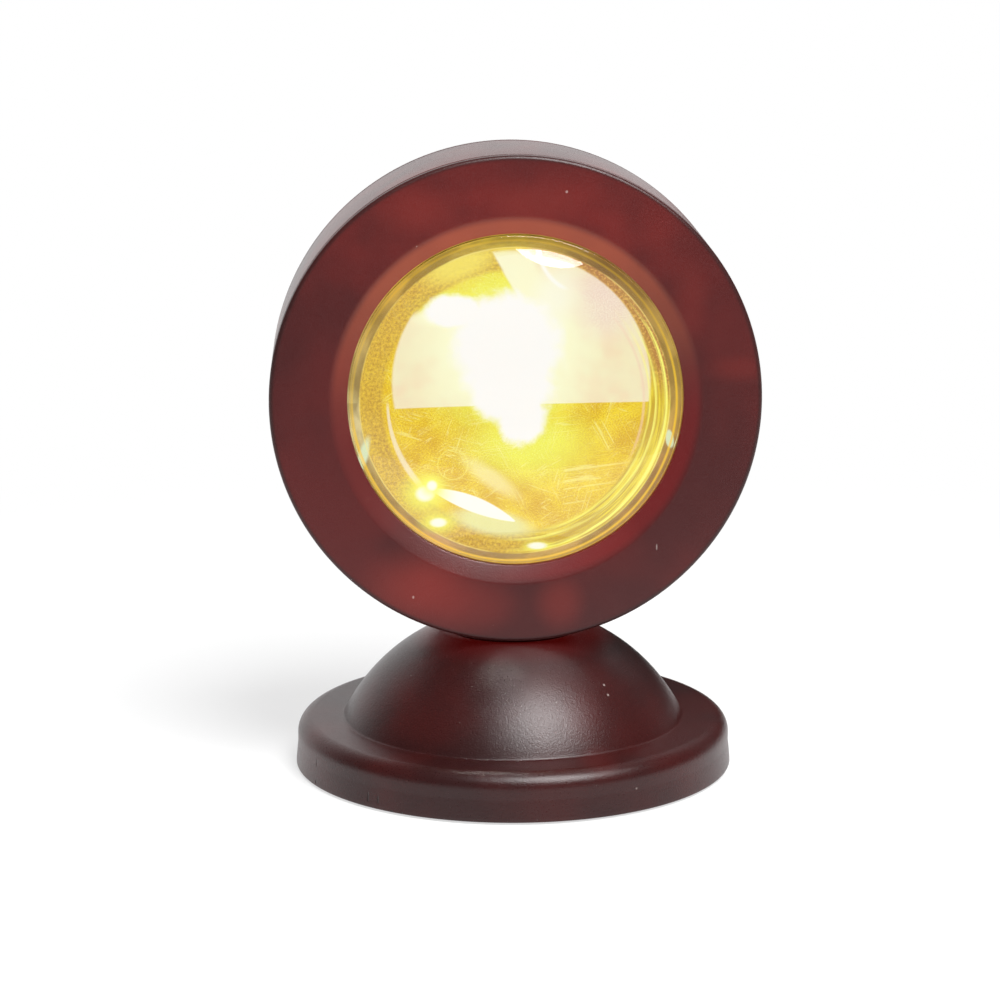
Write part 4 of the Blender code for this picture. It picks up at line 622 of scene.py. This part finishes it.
def dress_solids():
    """Every solid that is shown as it is gets the finish of its slot."""
    for row in frame["record"]["subparts"]:
        node = frame["nodes"][row["node"]]
        node.data.materials.clear()
        node.data.materials.append(SLOTS[row["material_slot"]])


def new_object(name, data):
    made = bpy.data.objects.new(name, data)
    bpy.context.scene.collection.objects.link(made)
    return made


def arc(centre, radii, start, stop, steps):
    """Points along part of an ellipse, from one angle to another in degrees."""
    points = []
    for step in range(steps + 1):
        angle = math.radians(start + (stop - start) * step / steps)
        points.append((centre[0] + radii[0] * math.cos(angle), centre[1] + radii[1] * math.sin(angle)))
    return points


def eased(outline, easing, steps=3):
    """The outline with its corners rounded; easing gives a radius for each corner that has one."""
    points = []
    for index, corner in enumerate(outline):
        if index not in easing:
            points.append(corner)
            continue
        here = Vector(corner)
        before = Vector(outline[index - 1]) - here
        after = Vector(outline[(index + 1) % len(outline)]) - here
        half = before.angle(after) / 2
        reach = easing[index] / math.tan(half)
        start = here + before.normalized() * reach
        stop = here + after.normalized() * reach
        for step in range(steps + 1):
            share = step / steps
            bend = (1 - share) ** 2 * start + 2 * share * (1 - share) * here + share**2 * stop
            points.append(tuple(bend))
    return points


def solid(name, fill, body, material, slot, *nodes):
    """A finished piece that stands for solids of the same name."""
    shape = bmesh.new()
    fill(shape)
    bmesh.ops.remove_doubles(shape, verts=shape.verts, dist=0.001)
    bmesh.ops.recalc_face_normals(shape, faces=shape.faces)
    bmesh.ops.scale(shape, vec=(MM, MM, MM), verts=shape.verts)
    mesh = bpy.data.meshes.new(name)
    shape.to_mesh(mesh)
    shape.free()
    mesh.materials.append(material)
    piece = new_object(name, mesh)
    smooth(mesh)
    if body:
        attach(piece, body)
        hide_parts(*nodes)
    return piece


def smooth(mesh):
    mesh.shade_smooth()
    mesh.set_sharp_from_angle(angle=math.radians(32))


def turned(outline, steps, matrix=Matrix()):
    """Fills a shape turned about Z from (radius, height) points, then placed by the matrix."""

    def fill(shape):
        corners = [shape.verts.new((radius, 0, height)) for radius, height in outline]
        edges = [shape.edges.new(pair) for pair in zip(corners, corners[1:])]
        if outline[0][0] > 0:
            edges.append(shape.edges.new((corners[-1], corners[0])))
        bmesh.ops.spin(
            shape,
            geom=corners + edges,
            cent=(0, 0, 0),
            axis=(0, 0, 1),
            angle=math.tau,
            steps=steps,
            use_merge=True,
        )
        bmesh.ops.transform(shape, matrix=matrix, verts=shape.verts)

    return fill


def block(low, high):
    """Fills a box between two corners."""

    def fill(shape):
        size = [top - bottom for bottom, top in zip(low, high)]
        middle = Vector(low) + Vector(size) / 2
        bmesh.ops.create_cube(shape, size=1, matrix=Matrix.Translation(middle) @ Matrix.Diagonal((*size, 1)))

    return fill


# Turns Z, an outline's height, to face out of the lens
FORWARD = Matrix.Translation((0, 0, HEAD_CENTRE)) @ Matrix.Rotation(math.pi / 2, 4, "X")


def rod(radius, low, high, place=(0, 0), steps=32):
    """Fills a round bar that points out of the lens."""
    outline = [(0, low), (radius, low), (radius, high), (0, high)]
    return turned(outline, steps, FORWARD @ Matrix.Translation((*place, 0)))


def carve(piece, *fills):
    """Cuts shapes out of a piece and keeps the result as its mesh."""
    for fill in fills:
        cutter = solid("cutter", fill, None, piece.data.materials[0], None)
        step = piece.modifiers.new("cut", "BOOLEAN")
        step.operation = "DIFFERENCE"
        step.object = cutter
        graph = bpy.context.evaluated_depsgraph_get()
        mesh = bpy.data.meshes.new_from_object(piece.evaluated_get(graph))
        piece.modifiers.clear()
        piece.data = mesh
        bpy.data.objects.remove(cutter, do_unlink=True)
    smooth(piece.data)
    return piece


def bezel_piece():
    """The face with its recess and rounded edge, over a groove that leaves a shadow line."""
    edge = 0.7
    groove = 41.5
    spigot_end = 7.0
    outline = [
        (OPENING_RADIUS, PLATE_REAR),
        (OPENING_RADIUS, 12.25),
        (RECESS_RADIUS, FACE_LEAD),
        *reversed(arc((41.8, 12.8), (edge, edge), 0, 90, 10)),
        (HEAD_RADIUS, 11.85),
        (groove, 11.8),
        (groove, FRONT_SEAM),
        (SPIGOT_OUTSIDE, FRONT_SEAM),
        (SPIGOT_OUTSIDE, spigot_end),
        (SPIGOT_INSIDE, spigot_end),
        (SPIGOT_INSIDE, PLATE_REAR),
    ]
    outline = eased(outline, {1: 0.25, 2: 1.3}, 5)
    solid("bezel", turned(outline, FINE, FORWARD), "head", BEZEL, "mahogany_plastic", "front_bezel")


def drum_piece():
    """The side wall, with the slot that the tongue swings in."""
    inside = 40.3
    outline = [
        (inside, -DRUM_REACH),
        (HEAD_RADIUS, -DRUM_REACH),
        (HEAD_RADIUS, DRUM_REACH),
        (inside, DRUM_REACH),
    ]
    outline = eased(outline, {1: 0.3, 2: 0.15}, 5)
    drum = solid("drum", turned(outline, FINE, FORWARD), "head", DRUM, "mahogany_plastic", "drum_shell")
    carve(drum, block((-SLOT_HALF, -4.2, 20), (SLOT_HALF, 14.0, PIN_HEIGHT)))


def cover_piece():
    """The rear cover with its vents, button hole, slot and screw holes, and a post behind each hole."""
    shoulder = arc((33.3, -11.8), (9.2, 6.2), -90, 0, 20)
    inner = arc((33.3, -11.8), (4.9, 4.2), 0, -90, 8)
    spigot_end = -7.9
    outline = [
        (0, COVER_BACK),
        *shoulder,
        (HEAD_RADIUS, COVER_SEAM),
        (SPIGOT_OUTSIDE, COVER_SEAM),
        (SPIGOT_OUTSIDE, spigot_end),
        (SPIGOT_INSIDE, spigot_end),
        *inner,
        (0, COVER_BACK + 2.0),
    ]
    fill = turned(outline, FINE, FORWARD)
    cover = solid("back_cover", fill, "head", DRUM, "mahogany_plastic", "rear_cover")
    vent_count = 7
    vent_pitch = 4.2
    vent_circle = 15
    vents = []
    for index in range(vent_count):
        x = (index - vent_count // 2) * vent_pitch
        half = math.sqrt(vent_circle**2 - x**2)
        vents.append(block((x - 1, 15.0, HEAD_CENTRE - half), (x + 1, 20.0, HEAD_CENTRE + half)))
    angles = [math.radians(90 + 120 * index) for index in range(3)]
    places = [(SCREW_CIRCLE * math.cos(angle), SCREW_CIRCLE * math.sin(angle)) for angle in angles]
    beyond = -20
    sink = 2.0
    sinks = [rod(sink, beyond, -11.9, place) for place in places]
    button = rod(4.2, beyond, -15, (0, 24.0), 48)
    slot = block((-SLOT_HALF, 6.0, 20), (SLOT_HALF, 22.0, 34.1))
    carve(cover, *vents, *sinks, button, slot)
    bore = 1.0
    around = 2.9
    post_back = -16.2
    for number, place in enumerate(places):
        outline = [
            (bore, COVER_SEAM),
            (sink, COVER_SEAM),
            (sink, post_back),
            (around, post_back),
            (around, -10.4),
            (bore, -10.4),
        ]
        post = turned(outline, 32, FORWARD @ Matrix.Translation((*place, 0)))
        post = solid(f"screw_post_{number}", post, None, DRUM, None)
        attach(post, "head")


def hinge_cheeks():
    """The two cheeks beside the tongue, with the rest of the cover's inner posts left to the solids."""
    along = Matrix.Translation((0, PIN_BACK, PIN_HEIGHT)) @ Matrix.Rotation(math.pi / 2, 4, "Y")
    for name, low, high in (("cheek_left", -8.2, -4.9), ("cheek_right", 4.9, 8.2)):
        outline = [(1.8, low), (3.7, low), (4.0, low + 0.3), (4.0, high - 0.3), (3.7, high), (1.8, high)]
        cheek = solid(name, turned(outline, 48, along), None, DRUM, None)
        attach(cheek, "head")


def lens_piece():
    """The lens: a flange, a collar with a flat rim, and the domed front."""
    flange_rear = 8.8
    flange_front = 10.8
    crown_radius = 27.1
    rim = 12.3
    curve = (LENS_RADIUS**2 + LENS_SAG**2) / (2 * LENS_SAG)
    lean = math.degrees(math.acos(crown_radius / curve))
    crown = arc((0, LENS_APEX - curve), (curve, curve), lean, 90, 40)
    outline = [
        (0, flange_rear),
        (FLANGE_RADIUS, flange_rear),
        (FLANGE_RADIUS, flange_front),
        (LENS_RADIUS, flange_front),
        (LENS_RADIUS, rim),
        *crown[:-1],
        (0, LENS_APEX),
    ]
    outline = eased(outline, {4: 0.3}, 5)
    clear = SLOTS["clear_acrylic"]
    solid("lens_body", turned(outline, FINE, FORWARD), "head", clear, "clear_acrylic", "lens")


def film_piece():
    """The thin disc of colour film behind the lens."""
    rear = 8.1
    front = 8.5
    outline = [(0, rear), (FLANGE_RADIUS, rear), (FLANGE_RADIUS, front), (0, front)]
    solid("film", turned(outline, MIDDLE, FORWARD), "head", SLOTS["gold_film"], "gold_film", "colour_film")


def base_piece():
    """The base: a wall that flares a little at its foot, a rounded ledge, and a dome with a seat."""
    radius = 34.06
    centre = -6.66
    fillet = 0.6
    fillet_height = 9.3
    lean = math.degrees(math.asin((fillet_height - centre) / (radius + fillet)))
    reach = math.sqrt((radius + fillet) ** 2 - (fillet_height - centre) ** 2)
    top = math.degrees(math.asin((SEAT_TOP - centre) / radius))
    inside = radius - 1.8
    ceiling_low = 6.9
    ceiling_top = 19.9
    low_inside = math.degrees(math.asin((ceiling_low - centre) / inside))
    top_inside = math.degrees(math.asin((ceiling_top - centre) / inside))
    seat = 12.0
    seat_floor = 21.9
    bore = 5.0
    foot = 0.4
    outline = [
        (BASE_RADIUS, foot),
        (38.93, 1.0),
        (38.6, 4.2),
        *arc((35.7, 5.8), (2.9, 2.9), 0, 90, 14),
        *arc((reach, fillet_height), (fillet, fillet), 270, 180 + lean, 8),
        *arc((0, centre), (radius, radius), lean, top, 48)[1:],
        (seat, SEAT_TOP),
        (seat, seat_floor),
        (bore, seat_floor),
        (bore, ceiling_top),
        *arc((0, centre), (inside, inside), top_inside, low_inside, 16),
        (35.8, ceiling_low),
        (36.8, 5.9),
        (36.8, foot),
    ]
    fill = turned(eased(outline, {1: 4.0, 2: 4.0, 0: 0.12}), FINE)
    solid("base_shell_fine", fill, "base", DOME, "mahogany_plastic", "base_shell")


def floor_piece():
    """A white floor that keeps a soft shadow, and is darker in front when it is seen mirrored."""
    paint = Paint("floor")
    mirrored = paint.ray(GLOSSY_RAY)
    seen = paint.ray(CAMERA_RAY).at_least(mirrored).at_least(paint.ray(TRANSMISSION_RAY))
    paint.set(Base_Color=(0.86, 0.86, 0.86), Roughness=0.9, Specular_IOR_Level=0.0)
    point = paint.place()
    _, y, _ = paint.parts(point)
    front = mirrored * paint.ramp(y, -60.0, -240.0)
    white = paint.mix(front * 0.80, WHITE, BLACK)
    white = paint.node("ShaderNodeEmission", {}, {"Color": white, "Strength": 1.0})
    share = seen * paint.ramp(paint.distance(point, (0, 0, 0)), 60.0, 260.0, 0.62, 1.0)
    lit = Signal(paint, paint.shader.outputs[0])
    shown = paint.node("ShaderNodeMixShader", {}, {0: share, 1: lit, 2: white})
    paint.tree.links.new(shown.socket, paint.output.inputs["Surface"])
    shape = bmesh.new()
    bmesh.ops.create_circle(shape, cap_ends=True, radius=6, segments=96)
    mesh = bpy.data.meshes.new("floor")
    shape.to_mesh(mesh)
    shape.free()
    mesh.materials.append(paint.material)
    floor = new_object("floor", mesh)


def lights():
    """A round softbox overhead that the lamp mirrors, and two weaker ones that it doesn't."""
    softbox("overhead", (0.215, -0.395, 0.72), (0, -0.01, 0.03), 0.52, 0.52, 10.5, "ELLIPSE")
    for lamp in (
        softbox("front", (-0.45, -0.80, 0.55), (0, 0, 0.06), 0.40, 0.40, 1.4),
        softbox("rear", (0.30, 0.70, 0.60), (0, 0, 0.05), 0.50, 0.40, 2.0),
    ):
        lamp.visible_glossy = False
        lamp.visible_transmission = False


def dark_card():
    """A dark card behind on the right, which only the lamp's mirrored surroundings show."""
    paint = Paint("dark_card")
    paint.set(Base_Color=(0.02, 0.02, 0.02), Roughness=0.9)
    card = solid("dark_card", block((-8, 130, 1), (190, 132, 96)), None, paint.material, None)
    card.visible_camera = False
    card.visible_diffuse = False
    card.visible_transmission = False
    card.visible_shadow = False


def surroundings():
    """White to the camera, bright behind the lamp in mirrored rays, and a weak light on everything."""
    studio = Paint("studio", True)
    bpy.context.scene.world = studio.material
    glossy = studio.ray(GLOSSY_RAY)
    direction = studio.node("ShaderNodeTexCoord")
    inputs = {0: direction, 1: (-0.10, 0.99, -0.05)}
    facing = studio.node("ShaderNodeVectorMath", {"operation": "DOT_PRODUCT"}, inputs, 1)
    mirrored = studio.ramp(facing, 0.30, 0.88, 0.10, 1.0)
    level = (studio.ray(CAMERA_RAY) + studio.ray(TRANSMISSION_RAY)).at_most(1.0)
    level = level.at_least(glossy * mirrored).at_least(0.38 - glossy)
    studio.set(Color=WHITE, Strength=level)


def softbox(name, place, target, width, height, power, shape="RECTANGLE"):
    """An area light at a place, aimed at a target, in metres and watts."""
    light = bpy.data.lights.new(name, "AREA")
    light.shape = shape
    light.size = width
    light.size_y = height
    light.energy = power
    lamp = new_object(name, light)
    lamp.location = place
    lamp.rotation_mode = "QUATERNION"
    lamp.rotation_quaternion = (Vector(target) - Vector(place)).to_track_quat("-Z", "Y")
    return lamp


def camera():
    """The photograph's viewpoint, found from the outlines of the lamp."""
    sensor = 36
    focal_ratio = 3.2423
    lens = bpy.data.cameras.new("camera")
    lens.sensor_width = sensor
    lens.lens = sensor * focal_ratio
    lens.clip_start = 0.01
    lens.clip_end = 50
    viewer = new_object("camera", lens)
    right = Vector((0.99894372, -0.04589086, -0.00234156))
    up = Vector((0.01219718, 0.2156863, 0.97638653))
    back = -Vector((0.04430217, 0.97538374, -0.21601822))
    viewer.rotation_mode = "QUATERNION"
    viewer.rotation_quaternion = Matrix((right, up, back)).transposed().to_quaternion()
    viewer.location = (-0.02770, -0.56043, 0.17175)
    bpy.context.scene.camera = viewer


dress_solids()
bezel_piece()
drum_piece()
cover_piece()
hinge_cheeks()
lens_piece()
film_piece()
base_piece()
floor_piece()
lights()
dark_card()
surroundings()
camera()
bpy.context.scene.view_settings.view_transform = "Standard"
